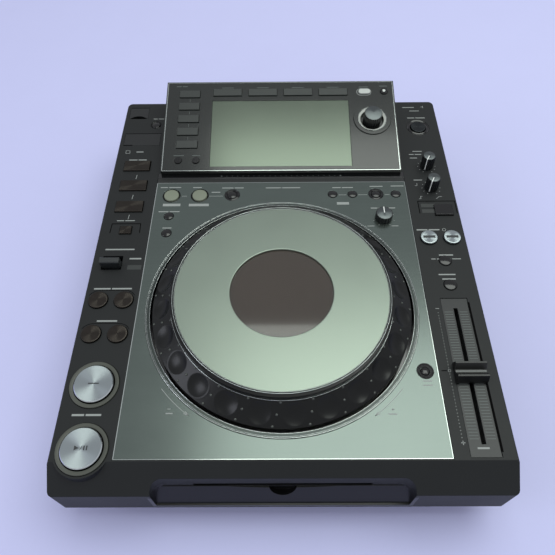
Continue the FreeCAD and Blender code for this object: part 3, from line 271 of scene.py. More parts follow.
# Upper case. One large ABS moulding with a spark-eroded matt skin, dark charcoal, which
# breaks up every highlight. The real grain is about 0.3 mm and is drawn at 1.1 mm to show.
abs_matt = finish("moulded_abs_matt", "#17191a", 0.55, grain=1.1, depth=0.06, tint=0.12,
                  edge=0.7, edge_wear_and_highlight=0.3, **{"Specular IOR Level": 0.32})
finish_as(["top_cover"], abs_matt)
DECK = 77.5


def bar(x0, y0, x1, y1, width, z=DECK + 0.03):
    """Corners of a thin line from one point to another, in mm, on the deck."""
    dx, dy = x1 - x0, y1 - y0
    length = math.hypot(dx, dy)
    nx, ny = -dy / length * width / 2, dx / length * width / 2
    return [(x0 + nx, y0 + ny, z), (x0 - nx, y0 - ny, z), (x1 - nx, y1 - ny, z),
            (x1 + nx, y1 + ny, z)]


def arc(x, y, radius, start, end, width, steps=10):
    """A thin line along part of a circle, from one angle to another."""
    points = [(x + radius * math.cos(math.radians(start + (end - start) * i / steps)),
               y + radius * math.sin(math.radians(start + (end - start) * i / steps)))
              for i in range(steps + 1)]
    return [bar(*a, *b, width) for a, b in zip(points, points[1:])]


def marks(name, quads, material, body="case"):
    """Flat marks from lists of corners in mm, as one piece."""
    vertices, faces = [], []
    for quad in quads:
        start = len(vertices)
        vertices += [(x * MM, y * MM, z * MM) for x, y, z in quad]
        faces.append(tuple(range(start, start + len(quad))))
    return piece(name, vertices, faces, material, body)


# Moulded grooves bracket the record key and the jog mode key, and two smoked windows
# there and one by the lever hide small lamps.
# Groove shadow: nearly black and dull, because light doesn't reach its floor.
groove_shade = finish("groove_shadow", "#060606", 0.8, grain=0.8, depth=0.02,
                      **{"Specular IOR Level": 0.05})
marks("bracket_grooves", [
    bar(-150.6, 26.0, -124.4, 26.0, 0.9), bar(-150.2, 26.0, -150.6, 15.5, 0.8),
    bar(-124.8, 26.0, -124.4, 15.5, 0.8), bar(124.2, 50.6, 158.4, 50.6, 0.9),
    bar(124.5, 50.6, 124.5, 36.0, 0.8), bar(158.0, 50.6, 158.0, 36.0, 0.8)], groove_shade)
# Smoked polycarbonate: a little paler than the case round it.
smoke = finish("polycarbonate_smoke", "#2c2f2e", 0.45, grain=0.8, depth=0.01)
marks("lamp_windows", [bar(-129.6, -21.5, -117.8, -21.5, 4.6),
                       bar(126.8, 45.4, 139.8, 45.4, 4.2),
                       bar(126.8, 38.8, 139.8, 38.8, 4.2)], smoke)
# Screen-printed ink: flat, with a faint grain and no shine.
print_pale = finish("screen_print_pale", "#8f9391", 0.6, grain=0.5, depth=0.004)
print_grey = finish("screen_print_grey", "#4f5553", 0.6, grain=0.5, depth=0.004)


def dashes(x, y, width, height, *shares):
    """A row of dashes with these shares of the width, where a control is named."""
    gap = 1.1
    room = width - gap * (len(shares) - 1)
    row, left = [], x - width / 2
    for share in shares:
        span = room * share / sum(shares)
        row.append(bar(left, y, left + span, y, height))
        left += span + gap
    return row


# Screen print on the left rail: plain dashes over the controls, slanted strokes that
# join the three cue keys and a card sign; the search outlines are painted groove shadow.
left_print = (dashes(-138.4, 106.2, 17, 1.1, 3, 3) + dashes(-138.5, 29.6, 16, 0.9, 3, 4)
              + dashes(-138.7, -2.6, 25, 1.4, 1) + dashes(-124.0, -12.5, 10, 1.5, 1)
              + dashes(-138.1, -42.9, 31, 1.4, 5, 6) + dashes(-137.8, -73.3, 16, 1.4, 1)
              + dashes(-139.3, -150.1, 21, 1.5, 4, 5) + dashes(-125.1, 165.8, 11, 0.9, 3, 4)
              + dashes(-138.0, 117.3, 7, 1.1, 1)
              + [bar(-136.4, y + 2.6, -136.9, y - 2.6, 0.5) for y in (83.4, 58.0, 33.9)]
              + [bar(-151.8, 115.4, -151.8, 119.4, 0.4), bar(-152.0, 119.4, -148.8, 119.4, 0.4),
                 bar(-148.8, 119.4, -147.8, 118.2, 0.4), bar(-147.8, 118.4, -147.8, 115.4, 0.4),
                 bar(-152.0, 115.4, -147.6, 115.4, 0.4)])
marks("left_rail_print", left_print, print_pale)
# Outlines round the search buttons: near-black painted groove shadow.
search_shadow_lines = []
for y in (-54.0, -85.0):
    search_shadow_lines += [bar(-148.2, y + 9.4, -127.6, y + 9.4, 0.5)]
    search_shadow_lines += arc(-148.2, y, 9.4, 90, 150, 0.5) + arc(-127.6, y, 9.4, 90, 30, 0.5)
marks("search_outline_shadows", search_shadow_lines, groove_shade)

# Screen print on the right rail: dashes, the power mark, dots round the two brake knobs
# with a steep and an easy curve below them.
right_print = (dashes(133.1, 181.1, 12, 1.0, 1) + dashes(138.6, 175.5, 10, 0.9, 1)
               + dashes(139.1, 164.6, 18, 1.1, 3, 4) + dashes(133.2, 115.6, 9, 0.9, 1)
               + dashes(130.6, 111.3, 12, 0.9, 3, 4) + dashes(128.4, 106.4, 7, 0.9, 1)
               + dashes(128.4, 77.1, 8, 0.9, 1) + dashes(128.8, 17.1, 20, 1.3, 4, 4)
               + dashes(139.8, -10.5, 12, 1.2, 1) + dashes(139.2, -14.6, 25, 0.8, 2, 3, 3, 4)
               + dashes(137.2, -30.6, 14, 1.2, 1) + dashes(138.1, -35.1, 11, 1.2, 1)
               + [bar(146.2, 181.7, 148.6, 181.7, 0.5), bar(148.4, 183.4, 148.4, 180.0, 0.5)]
               + [bar(124.6, 70.0, 127.0, 70.0, 0.4), bar(126.8, 70.0, 126.8, 73.0, 0.4)]
               + [bar(126.2, 53.6, 128.0, 53.6, 0.4), bar(128.0, 53.6, 128.0, 56.6, 0.4),
                  bar(128.0, 56.6, 129.8, 56.6, 0.4)]
               + [bar(142.0, 53.4, 144.6, 56.0, 0.4), bar(144.6, 56.0, 147.6, 56.4, 0.4)]
               + arc(142.8, 17.1, 1.5, 0, 360, 0.4))
for y in (95.0, 67.0):
    for degrees in range(-60, 245, 30):
        a = math.radians(degrees)
        right_print.append(bar(139.2 + 7.8 * math.cos(a), y + 7.8 * math.sin(a),
                               139.2 + 8.7 * math.cos(a), y + 8.7 * math.sin(a), 0.5))
marks("right_rail_print", right_print, print_pale)


# Front bay. Black ABS moulding with a satin sloping panel under the disc slot and a
# finger notch in it; its walls are smooth and mirror the table.
finish_as(["slot_bezel"], finish("moulded_abs_black", "#0c0c0d", 0.32, grain=0.9,
                                 depth=0.015, **{"Specular IOR Level": 0.35}))


# Wells and their lids. A black moulding under the left rail holds the stick socket and the
# card slot; a smooth lid and a door close them level with the rail.
finish_as(["well_insert"], insert_black)
finish_as(["usb_lid", "sd_door"], finish("moulded_abs_satin_black", "#131516", 0.36,
                                         grain=0.8, depth=0.01))


# Dish round the wheel. Black moulding with a dark satin band at the deck, between two
# polished lines that the wheel's black gap follows.
# Gloss acrylic: black with a clean, sharp reflection.
acrylic_black = finish("acrylic_gloss_black", "#0b0c0d", 0.10, grain=1.5, depth=0.001,
                       **{"Coat Weight": 0.5, "Coat Roughness": 0.04})
finish_as(["jog_dish"], acrylic_black)
wheel_y = -59.1
wheel_place = at(0, wheel_y)
# Anodised ring: a dark, satin metal band.
band = finish("anodised_ring_dark", "#3d4341", 0.3, metallic=0.7, grain=0.6, depth=0.003)
turned("dish_band", [(105.4, DECK + 0.83), (108.2, DECK + 0.83)], band, "case", wheel_place,
       180)
# Polished aluminium: thin bright lines at every cut edge, and a painted highlight on the
# display's edges and on the deck plate's left edge.
polished_and_highlight = finish("polished_aluminium_and_highlight", "#c6ccc9", 0.18, metallic=1.0, grain=0.6,
                  depth=0.002)


def edge_ring(name, radius, height, thickness, material, body, place=wheel_place,
              segments=180):
    """A thin round line of metal with a rounded top."""
    section = [(radius + thickness * math.cos(math.radians(a)),
                height + thickness * math.sin(math.radians(a))) for a in range(0, 360, 60)]
    return turned(name, section, material, body, place, segments, closed=True)


edge_ring("dish_outer_line", 108.45, DECK + 0.72, 0.26, polished_and_highlight, "case")
edge_ring("dish_second_line", 107.5, DECK + 0.78, 0.16, polished_and_highlight, "case")
edge_ring("dish_inner_line", 105.15, DECK + 0.72, 0.22, polished_and_highlight, "case")


# Wheel rim. Satin moulded rim with twenty-four smooth bowls for the fingers, and three
# small domed studs in each gap. The skin is smooth to the touch and slightly bluish.
# Satin wheel plastic: dark, so that only the bowls' floors and edges catch light.
wheel_satin = finish("moulded_wheel_satin", "#0b0c0c", 0.30, grain=0.9, depth=0.004,
                     tint=0.08, edge_wear_and_highlight=0.1, **{"Specular IOR Level": 0.32})
outer, inner, low_edge, crown = 102.6, 86.3, DECK + 2.3, DECK + 14.0
slope = math.atan2(crown - low_edge, outer - inner)
run = math.hypot(crown - low_edge, outer - inner)
around, along = 720, 30
rim_vertices, rim_faces = [], []
bowl_radius, bowl_depth, lip_width, lip_rise = 8.6, 1.8, 0.8, 0.12
first_bowl, bowl_pitch = 5.1, 15
rim_foot = [(101.4, DECK - 5.9), (102.5, DECK - 5.9), (102.6, low_edge - 0.1)]
rim_head = [(inner - 0.1, crown + 0.1), (inner - 0.1, DECK + 18.6), (inner - 0.5, DECK + 18.88),
            (43.6, DECK + 18.88)]
for step in range(around):
    a = 2 * math.pi * step / around
    column = list(rim_foot)
    for i in range(along + 1):
        distance = run * i / along
        radius = outer - distance * math.cos(slope)
        height = low_edge + distance * math.sin(slope)
        turns = round((math.degrees(a) - first_bowl) / bowl_pitch)
        nearest = turns * bowl_pitch + first_bowl
        aside = radius * math.sin(a - math.radians(nearest))
        off = math.hypot(aside, distance - run / 2)
        sink = 0.0
        if off < bowl_radius:
            sink = bowl_depth * (1 - (off / bowl_radius) ** 2)
        elif off < bowl_radius + lip_width:
            sink = -lip_rise * math.sin(math.pi * (off - bowl_radius) / lip_width)
        column.append((radius - sink * math.sin(slope), height - sink * math.cos(slope)))
    column += rim_head
    for radius, height in column:
        rim_vertices.append(wheel_place @ Vector((radius * MM * math.cos(a),
                                                  radius * MM * math.sin(a), height * MM)))
rows_in_rim = len(rim_foot) + along + 1 + len(rim_head)
for step in range(around):
    here, there = step * rows_in_rim, (step + 1) % around * rows_in_rim
    for i in range(rows_in_rim - 1):
        rim_faces.append((here + i, there + i, there + i + 1, here + i + 1))
rim = piece("wheel_rim", rim_vertices, rim_faces, wheel_satin, "jog_wheel",
            True)
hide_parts("jog_ring")
stud_vertices, stud_faces = [], []
for gap in range(24):
    middle = first_bowl + bowl_pitch / 2 + gap * bowl_pitch
    for distance, turn_by in ((1.6, -1.6), (run / 2, 0.0), (run - 1.4, 1.6)):
        a = math.radians(middle + turn_by)
        radius = outer - distance * math.cos(slope)
        height = low_edge + distance * math.sin(slope)
        out = Vector((math.sin(slope) * math.cos(a), math.sin(slope) * math.sin(a),
                      math.cos(slope)))
        side = Vector((-math.sin(a), math.cos(a), 0))
        up = out.cross(side)
        centre = Vector((radius * math.cos(a), radius * math.sin(a) + wheel_y, height))
        start = len(stud_vertices)
        for size, rise in ((1.05, -0.1), (1.0, 0.3), (0.7, 0.62)):
            for corner in range(10):
                b = 2 * math.pi * corner / 10
                stud_vertices.append((centre + out * rise + side * (size * math.cos(b))
                                      + up * (size * math.sin(b))) * MM)
        stud_vertices.append((centre + out * 0.75) * MM)
        for ring in range(2):
            for corner in range(10):
                p, q = start + ring * 10 + corner, start + ring * 10 + (corner + 1) % 10
                stud_faces.append((p, q, q + 10, p + 10))
        for corner in range(10):
            stud_faces.append((start + 20 + corner, start + 20 + (corner + 1) % 10,
                               start + 30))
# Metallised stud: small points of light between the bowls.
stud_metal = finish("polished_stud", "#505350", 0.25, metallic=0.5, grain=0.5, depth=0.002)
piece("wheel_studs", stud_vertices, stud_faces, stud_metal, "jog_wheel", True)
edge_ring("wheel_crown_line", 86.5, crown + 0.05, 0.22, polished_and_highlight, "jog_wheel")


# Round display and platter. A dark glass under a satin silver plate with a round window;
# a clear acrylic disc covers both, with a polished turned edge.
# Smoked glass: brown-black, mirroring the room dimly.
window_glass = finish("smoked_glass", "#2c1d12", 0.07, grain=2.0, depth=0.001, tint=0.10,
                      **{"Coat Weight": 0.4, "Coat Roughness": 0.03})
turned("window_glass", [(0, DECK + 18.95), (42.8, DECK + 18.95)], window_glass, "case",
       wheel_place, 96)
# Satin-silver aluminium: pale and slightly green, with a soft wide sheen.
silver = finish("aluminium_satin_silver", "#848f84", 0.34, metallic=0.9, grain=0.7,
                depth=0.003, tint=0.03)
top = DECK + 22.4
plate = turned("silver_plate", [(40.2, top - 2.6), (40.2, top - 1.75), (40.5, top - 1.55),
                                (40.8, top - 1.55), (82.4, top - 1.55), (82.6, top - 1.55),
                                (82.9, top - 1.8), (82.9, top - 2.6)],
               silver, "jog_top", wheel_place, 180)
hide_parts("jog_silver")
# Clear acrylic: nearly invisible, seen only by its reflections.
clear = finish("acrylic_clear", "#dfeae3", 0.04, grain=2.0, depth=0.001, **{"Alpha": 0.03})
disc = turned("platter_disc", [(0, top), (84.1, top), (84.5, top - 0.35), (84.5, top - 1.4)],
              clear, "jog_top", wheel_place, 180)
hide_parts("jog_platter")
edge_ring("platter_bright_line", 84.25, top - 1.3, 0.22, polished_and_highlight, "jog_top")
# A near-black ring in the gap between the silver plate and the disc's rim is painted shadow.
turned("platter_gap_shadow", [(82.95, top - 1.6), (84.0, top - 1.6), (84.0, top - 2.6)],
       groove_shade, "jog_top", wheel_place, 180)
edge_ring("platter_inner_line", 83.0, top - 1.5, 0.14, polished_and_highlight, "jog_top")


# Deck plate. Dark anodised aluminium sheet with a brushed face and cut bright edges,
# bonded to the case. Its hairlines are about 0.1 mm apart and are drawn at 0.6 mm.
# Brushed anodised aluminium: a sheen that runs along its hairlines.
brushed = finish("anodised_aluminium_brushed", "#646d69", 0.24, metallic=0.9, grain=0.6,
                 depth=0.0015, tint=0.05, stretch=(0.02, 1, 1))
finish_as(["deck_plate"], brushed)
plate_low, plate_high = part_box("deck_plate")
plate_x = plate_high[0] / MM - 0.3
plate_front, plate_rear = plate_low[1] / MM + 0.3, plate_high[1] / MM - 0.3
# Bright cut edges; the left line is drawn twice as wide as a painted highlight on its bevel.
marks("plate_cut_edges_and_highlight", [bar(-plate_x, plate_front, -plate_x, plate_rear, 0.6),
                          bar(plate_x, plate_front, plate_x, plate_rear, 0.3),
                          bar(-plate_x, plate_rear, plate_x, plate_rear, 0.35),
                          bar(-plate_x, plate_front, plate_x, plate_front, 0.35)], polished_and_highlight)
deck_print = []
for row in ((-102.5, 69.5, 19, 1.0, 3, 5), (-77.7, 69.3, 8, 1.0, 1),
            (-44.6, 68.5, 20, 1.0, 5, 4), (-60.1, 63.2, 8, 1.0, 1),
            (-101.1, 39.9, 19, 1.0, 4, 4), (-100.9, 20.9, 8, 1.0, 1),
            (1.9, 68.3, 32, 1.0, 5, 6), (57.4, 68.1, 19, 1.0, 3, 4),
            (88.5, 69.4, 12, 1.0, 1), (108.1, 69.7, 12, 1.0, 1), (92.1, 42.7, 22, 1.1, 2, 5),
            (79.3, 21.8, 6, 0.8, 1), (100.4, 21.8, 6, 0.8, 1), (106.6, -125.3, 7, 0.9, 1),
            (106.4, -128.6, 7, 0.9, 1), (-80.6, -149.2, 5, 0.9, 1),
            (78.3, -150.3, 6, 0.9, 1)):
    deck_print += dashes(*row)
deck_print += [bar(-91.2, 58.6, -86.4, 58.6, 0.45), bar(-66.0, 58.4, -53.6, 58.4, 0.45),
               bar(53.0, 59.0, 60.2, 59.0, 0.45), bar(71.0, 59.0, 79.4, 59.0, 0.45),
               bar(95.4, 59.0, 99.8, 59.0, 0.45), bar(-82.2, -145.9, -79.8, -145.9, 0.5),
               bar(77.5, -146.9, 79.9, -146.9, 0.5), bar(78.7, -145.7, 78.7, -148.1, 0.5)]
arrow_radius = 113.4
for start, end, way in ((-141, -126, 1), (-39.5, -54.6, -1)):
    deck_print += arc(0, wheel_y, arrow_radius, start, end, 0.45)
    tip = math.radians(end)
    back = math.radians(end - way * 2.0)
    for radius in (arrow_radius - 1.0, arrow_radius + 1.0):
        deck_print.append(bar(arrow_radius * math.cos(tip),
                              wheel_y + arrow_radius * math.sin(tip),
                              radius * math.cos(back), wheel_y + radius * math.sin(back),
                              0.5))
for degrees in (-60, -20, 20, 200, 240):
    a = math.radians(degrees)
    deck_print.append(bar(91.4 + 9.2 * math.cos(a), 31.4 + 9.2 * math.sin(a),
                          91.4 + 10.1 * math.cos(a), 31.4 + 10.1 * math.sin(a), 0.5))
marks("deck_print", deck_print, print_pale)
marks("loop_label_plates", [bar(-107.6, 47.9, -91.6, 47.9, 3.0),
                            bar(-83.9, 47.7, -65.7, 47.7, 3.0),
                            bar(50.9, 48.6, 61.9, 48.6, 3.0)], print_pale)


# Needle strip. Gloss black acrylic strip in front of the display, which a finger slides
# over; its front half is matt, and a row of dots is printed under the gloss.
finish_as(["needle_strip"], acrylic_black)
# Matt acrylic: the same black, with the gloss taken off.
strip_matt = finish("acrylic_matt_black", "#141616", 0.5, grain=0.9, depth=0.02)
marks("strip_front_half", [bar(-plate_x + 0.5, 78.4, plate_x - 0.5, 78.4, 4.6, DECK - 0.16)],
      strip_matt)
strip_dots = [bar(x - 0.35, 83.4, x + 0.35, 83.4, 0.7, DECK + 0.44)
              for x in (-51 + i * 102 / 20 for i in range(21))]
strip_dots += [[(-56.6, 84.1, DECK + 0.44), (-56.6, 82.7, DECK + 0.44),
                (-54.6, 83.4, DECK + 0.44)],
               [(55.2, 82.6, DECK + 0.44), (57.4, 82.6, DECK + 0.44),
                (56.3, 84.3, DECK + 0.44)]]
marks("strip_dots", strip_dots, print_grey)


# Display unit. Gloss dark grey ABS housing with a face plate of the same, tilted to the
# player; the plate's edge carries a painted highlight, and the screen behind is off and
# mirrors.
# Gloss ABS: dark grey, mirroring, with rounded edges painted bright as highlight and wear.
display_gloss = finish("moulded_abs_gloss", "#1e211f", 0.17, grain=1.2, depth=0.003,
                       tint=0.04, edge=0.8, edge_wear_and_highlight=0.8, **{"Coat Weight": 0.2,
                                                         "Coat Roughness": 0.08})
finish_as(["display_housing", "display_panel"], display_gloss)
finish_as(["lcd_screen"], finish("liquid_crystal_glass", "#626b60", 0.2, metallic=0.85,
                                 grain=2.0, depth=0.001, tint=0.03))
tilt = Matrix.Translation((0, 0.0856, 0.0825)) @ Matrix.Rotation(math.radians(12.97), 4, "X")


def on_face(quads):
    """Carries marks from flat coordinates on the display's face, in mm, to the face."""
    return [[tuple(tilt @ Vector((x * MM, s * MM, 0.00004)) / MM) for x, s, z in quad]
            for quad in quads]


face_half, face_rise = 113.0, 103.9
# Polished strips along the face's four edges are a painted highlight for its rounded edges.
marks("display_edge_highlights", on_face([
    bar(-face_half + 0.7, 0.8, -face_half + 0.7, face_rise - 1.0, 0.6),
    bar(face_half - 0.7, 0.8, face_half - 0.7, face_rise - 1.0, 0.5),
    bar(-face_half + 0.8, face_rise - 0.8, face_half - 0.8, face_rise - 0.8, 0.5),
    bar(-face_half + 0.6, 0.5, face_half - 0.6, 0.5, 0.5)]), polished_and_highlight)
face_print = [bar(-104, 98.6, -99, 98.6, 0.8), bar(-98, 98.6, -93, 98.6, 0.8),
              bar(78.6, 96.6, 88.0, 96.6, 0.8), bar(99.0, 97.6, 107.0, 97.6, 0.8),
              bar(-84.4, 17.2, -76.6, 17.2, 0.8), bar(-102, 17.2, -92, 17.2, 0.8)]
for x in (-52.5, -17.5, 17.5, 52.5):
    face_print.append(bar(x - 6, 96.6, x + 6, 96.6, 0.7))
for s in (36.9, 51.7, 66.5, 81.3):
    face_print.append(bar(-89.6, s - 1.6, -89.6, s + 1.6, 0.4))
marks("display_print", on_face(face_print), print_grey)
back_ring = arc(80.3, 90.6, 4.0, 90, 270, 0.5) + arc(86.5, 90.6, 4.0, 270, 450, 0.5)
back_ring += [bar(80.3, 94.6, 86.5, 94.6, 0.5), bar(80.3, 86.6, 86.5, 86.6, 0.5)]
marks("back_outline", on_face(back_ring), print_pale)
finish_as(["media_keys", "browse_keys"], finish("polycarbonate_smoked_key", "#292d2b", 0.36,
                                                grain=1.0, depth=0.006, edge_wear_and_highlight=0.6))
finish_as(["back_button"], finish("polycarbonate_pale", "#b3b7b3", 0.4, grain=0.8,
                                  depth=0.006))
# Polished ABS: piano black. The tag button's middle is a plated pin.
black_gloss = finish("polished_abs_black", "#0a0a0b", 0.14, grain=1.0, depth=0.002,
                     **{"Coat Weight": 0.1, "Coat Roughness": 0.05})
finish_as(["tag_button", "time_mode_button", "quantize_button"], black_gloss)
low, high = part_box("tag_button")
level = tilt.inverted() @ ((Vector(low) + Vector(high)) / 2)
tag_pin = finish("inlaid_tag_pin", "#b9bdba", 0.3, metallic=0.8, grain=0.4, depth=0.003)
turned("tag_pin", [(0, 1.04), (1.5, 1.02)], tag_pin, "tag_button",
       tilt @ Matrix.Translation((level.x, level.y, 0)), 24)


# Rotary selector. Ribbed knob of satin ABS with a spun grey top, in a well whose
# translucent wall is painted pale to stand for its light; no lamp lights it.
def spun(name, tone, roughness, metallic=1.0, anisotropic=0.85, **shader):
    """A face turned on a lathe: fine rings round its own middle, which give the
    bow-tie highlight of spun metal."""
    material = finish(name, tone, roughness, metallic, grain=0.5, depth=0.003, tint=0.05,
                      edge=0.3, **shader)
    tree = material.node_tree
    body = next(node for node in tree.nodes if node.type == "BSDF_PRINCIPLED")
    rings = add_node(tree, "ShaderNodeTangent", direction_type="RADIAL", axis="Z")
    body.inputs["Anisotropic"].default_value = anisotropic
    tree.links.new(rings.outputs[0], body.inputs["Tangent"])
    return material


# Satin ABS: dark grip with a soft sheen on each rib.
grip = finish("moulded_abs_satin", "#161819", 0.36, grain=0.7, depth=0.015)
finish_as(["selector_knob", "touch_knob", "release_knob", "jog_adjust_knob"], grip)
selector_place = tilt @ Matrix.Translation((89.6 * MM, 57.9 * MM, 0))
knob_top = spun("spun_cap_grey", "#5d6263", 0.34, metallic=0.9)
turned("selector_top", [(0, 9.42), (7.9, 9.42), (8.2, 9.3)], knob_top, "selector_knob",
       selector_place, 48)
# Painted glow: a pale ring round the knob, seen against black, though no lamp lights it.
painted_glow_wall = finish("polycarbonate_painted_glow", "#d7dad4", 0.45, grain=0.8, depth=0.01)
turned("selector_painted_glow_wall", [(11.5, -0.9), (13.4, 0.75)], painted_glow_wall, "case", selector_place,
       64)
edge_ring("selector_boss_line", 13.75, 0.86, 0.14, polished_and_highlight, "case", selector_place, 64)


# Brake and jog knobs. Ribbed satin ABS with a spun top, a white line inlaid in each from
# its middle to its edge and down its side.
def spot(node):
    """A round node's middle, half width and top, in mm."""
    low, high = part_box(node)
    return ((low[0] + high[0]) / MM / 2, (low[1] + high[1]) / MM / 2,
            (high[0] - low[0]) / MM / 2, high[2] / MM)


# Inlaid white: plain, so that the knob's setting can be read.
white_line = finish("inlaid_white", "#dfe1de", 0.5, grain=0.5, depth=0.004)
for name, degrees in (("touch_knob", -27), ("release_knob", -27), ("jog_adjust_knob", 180)):
    x, y, radius, peak = spot(name)
    place = at(x, y)
    turned(f"{name}_top", [(0, peak + 0.02), (radius - 0.9, peak + 0.02),
                           (radius - 0.7, peak - 0.1)], knob_top, name, place, 40)
    a = math.radians(degrees - 90)
    c, s = math.cos(a), math.sin(a)
    half_line = 0.42
    line = []
    for reach, height in ((0.4, peak + 0.05), (radius - 0.3, peak + 0.05),
                          (radius + 0.02, peak - 0.3), (radius + 0.02, DECK + 0.8)):
        for hand in (-1, 1):
            line.append(((x + reach * c - hand * half_line * s) * MM,
                         (y + reach * s + hand * half_line * c) * MM, height * MM))
    piece(f"{name}_line", line, [(0, 1, 3, 2), (2, 3, 5, 4), (4, 5, 7, 6)], white_line, name)


# Tempo fader. Moulded plate with a slot, ruled with fine raised lines, and a satin cap
# with a valley between two ridges that slides along it; the recess is dark on its right.
# Moulded plate: dark, between the ruled lines. The cap is near black, its ridges painted
# brighter as highlight and as wear.
fader_plate = finish("moulded_fader_plate", "#1c1e1f", 0.42, grain=0.9, depth=0.02)
finish_as(["tempo_fader"], fader_plate)
finish_as(["tempo_knob"], finish("moulded_fader_cap", "#0c0d0d", 0.34, grain=0.8,
                                 depth=0.01, edge_wear_and_highlight=0.3))
rule = []
fader_y, rule_pitch = -117.35, 2.26
for step in range(46):
    y = fader_y + 51.0 - step * rule_pitch
    rule += [bar(129.2, y, 135.7, y, 0.75, DECK - 0.46), bar(141.1, y, 147.4, y, 0.75,
                                                             DECK - 0.46)]
marks("fader_lines", rule, print_grey)
marks("fader_recess_shade", [bar(149.7, -57.5, 149.7, -177.4, 1.5)], groove_shade)
marks("fader_name_dash", [bar(133.4, -174.6, 141.6, -174.6, 1.3, DECK - 0.46)], print_pale)
scale = [bar(123.6, y, 124.2, y, 0.5) for y in (-67.35 - 2.5 * i for i in range(41))
         if abs(y - fader_y) > 1]
scale += [bar(122.4, -63.4, 125.2, -63.4, 0.5), bar(122.6, -171.0, 125.6, -171.0, 0.5),
          bar(124.1, -169.5, 124.1, -172.5, 0.5)] + arc(124.1, -117.1, 1.0, 0, 360, 0.35)
marks("tempo_scale", scale, print_pale)
marks("zero_groove", [bar(118.2, -117.1, 122.4, -117.1, 0.7)], groove_shade)
marks("fader_cap_line", [[(127.1, -119.9, DECK + 4.66), (149.7, -119.9, DECK + 4.66),
                          (149.7, -119.4, DECK + 4.66), (127.1, -119.4, DECK + 4.66)]],
      print_pale, "tempo_knob")


# Direction lever. Satin ABS lever on a steel pin, in a slot of the left rail.
finish_as(["direction_lever"], finish("moulded_lever_grey", "#26292a", 0.4, grain=0.8,
                                      depth=0.015))


# Cue and play buttons. A spun aluminium cap with a cut edge stands in a translucent ring
# that lights up, and both press down together.
# Ring: unlit warm grey. Cap: bright spun metal with a bow-tie sheen and a mirror-cut edge.
ring_plastic = finish("polycarbonate_ring", "#474942", 0.4, grain=0.8, depth=0.01,
                      edge_wear_and_highlight=0.1)
cap_metal = spun("spun_aluminium", "#a8b1b3", 0.30, metallic=1.0, anisotropic=0.9)
cut_edge = finish("diamond_cut_edge", "#d5dadd", 0.14, metallic=1.0, grain=0.5,
                  depth=0.002)
ink = finish("screen_print_dark", "#2b2e30", 0.5, grain=0.5, depth=0.004)
for name in ("cue_button", "play_button"):
    x, y, _, peak = spot(name)
    place = at(x, y)
    ring = turned(f"{name}_ring", [(15.3, peak - 4.5), (15.3, peak - 1.95),
                                   (15.6, peak - 1.82), (17.8, peak - 1.82),
                                   (18.15, peak - 2.1), (18.15, peak - 10.0)],
                  ring_plastic, name, place, 96)
    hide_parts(name)
    # The gap between cap and ring is painted shadow.
    turned(f"{name}_gap", [(14.3, peak - 4.0), (15.4, peak - 4.0)], groove_shade, name,
           place, 72)
    turned(f"{name}_edge", [(13.9, peak), (14.5, peak - 0.6), (14.5, peak - 4.2)],
           cut_edge, name, place, 96)
    turned(f"{name}_cap", [(0, peak - 0.35), (6, peak - 0.28), (11, peak - 0.12),
                           (13.9, peak)], cap_metal, name, place, 96)
x, y, _, peak = spot("play_button")
sign = [[(x - 4.6, y + 1.7, peak - 0.22), (x - 4.6, y - 1.7, peak - 0.22),
         (x - 1.4, y, peak - 0.22)],
        bar(x - 0.5, y - 1.6, x + 0.7, y + 1.6, 0.35, peak - 0.22),
        bar(x + 2.2, y - 1.6, x + 2.2, y + 1.6, 0.9, peak - 0.22),
        bar(x + 4.1, y - 1.6, x + 4.1, y + 1.6, 0.9, peak - 0.22)]
marks("play_sign", sign, ink, "play_button")
x, y, _, peak = spot("cue_button")
marks("cue_dash", [bar(x - 4, y, x + 4, y, 0.7, peak - 0.2)], ink, "cue_button")


# Search and cue keys. Gloss black metallised caps, turned so that each shows a crossed
# brown-grey highlight.
# Metallised black: dark warm metal with crossed highlights.
key_spun = spun("metallised_key_black", "#3d3935", 0.28, metallic=0.95, anisotropic=0.9)
finish_as(["hot_cue_1_key", "hot_cue_2_key", "hot_cue_3_key", "record_call_key"], key_spun)
finish_as(["jog_mode_key", "power_button"], black_gloss)


flange = 1.0


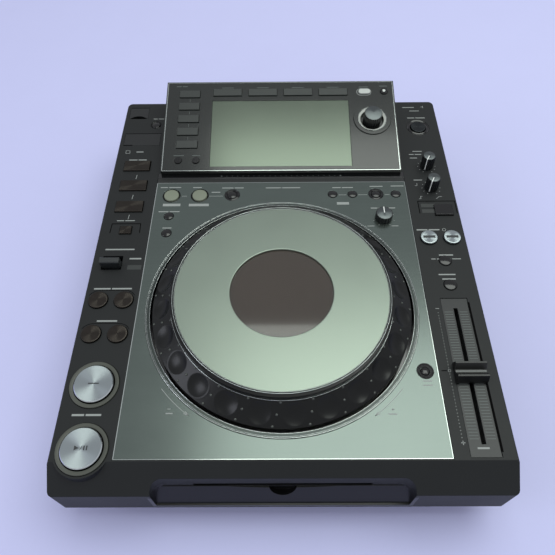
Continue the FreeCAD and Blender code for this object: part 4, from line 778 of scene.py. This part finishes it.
def domed_cap(node, material, rise, rim):
    """A turned cap with a crowned top in place of a plain round button."""
    x, y, reach, peak = spot(node)
    radius = reach - flange
    flat = radius - rim
    profile = [(flat * i / 6, peak - rise * (i / 6) ** 2) for i in range(7)]
    for degrees in (30, 60, 90):
        a = math.radians(degrees)
        profile.append((flat + rim * math.sin(a), peak - rise - rim * (1 - math.cos(a))))
    profile.append((radius, DECK - 3.4))
    cap = turned(f"{node}_cap", profile, material, node, at(x, y), 40)
    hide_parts(node)
    return x, y, radius, peak


for name in ("search_back_button", "search_forward_button", "track_back_button",
             "track_forward_button"):
    domed_cap(name, key_spun, 0.1, 0.5)


# Small round buttons. Crowned gloss black caps in holes or in dished surrounds, cream
# translucent loop caps, and two spun caps with a dark lamp bar.
# Silicone: pale, warm and dull.
cream = finish("silicone_cream", "#757b6b", 0.5, grain=0.9, depth=0.01, edge_wear_and_highlight=0.1)
for name in ("loop_in_button", "loop_out_button"):
    domed_cap(name, cream, 0.5, 0.8)
for name in ("reloop_button", "loop_mode_button", "slip_button", "call_back_button",
             "call_forward_button", "delete_button", "memory_button", "tempo_reset_button",
             "usb_stop_button", "master_tempo_button", "tempo_range_button"):
    domed_cap(name, black_gloss, 0.5, 0.7)
for name in ("sync_button", "master_button"):
    x, y, radius, peak = domed_cap(name, cap_metal, 0.05, 0.4)
    marks(f"{name}_lamp", [bar(x - 5.2, y, x + 5.2, y, 2.6, peak + 0.03)], ink, name)
# Metallised eject cap: dark, hollow and softly shining.
eject_spun = spun("metallised_eject", "#333638", 0.24, metallic=0.95)
domed_cap("eject_button", eject_spun, -0.25, 0.7)
surround_rings = (("loop_in_button", 8.2), ("loop_out_button", 8.2), ("reloop_button", 7.1),
                  ("delete_button", 6.9), ("tempo_reset_button", 6.3),
                  ("usb_stop_button", 5.5), ("eject_button", 11.4))
for name, reach in surround_rings:
    x, y, half_width, _ = spot(name)
    hole = half_width - 0.6
    middle = (hole + reach) / 2
    turned(f"{name}_surround", [(hole, DECK - 0.95), (hole, DECK - 0.35),
                                (hole + 0.3, DECK - 0.2), (middle, DECK - 0.65),
                                (reach - 0.3, DECK + 0.05), (reach, DECK - 0.1),
                                (reach, DECK - 0.95)], black_gloss, "case", at(x, y), 48)
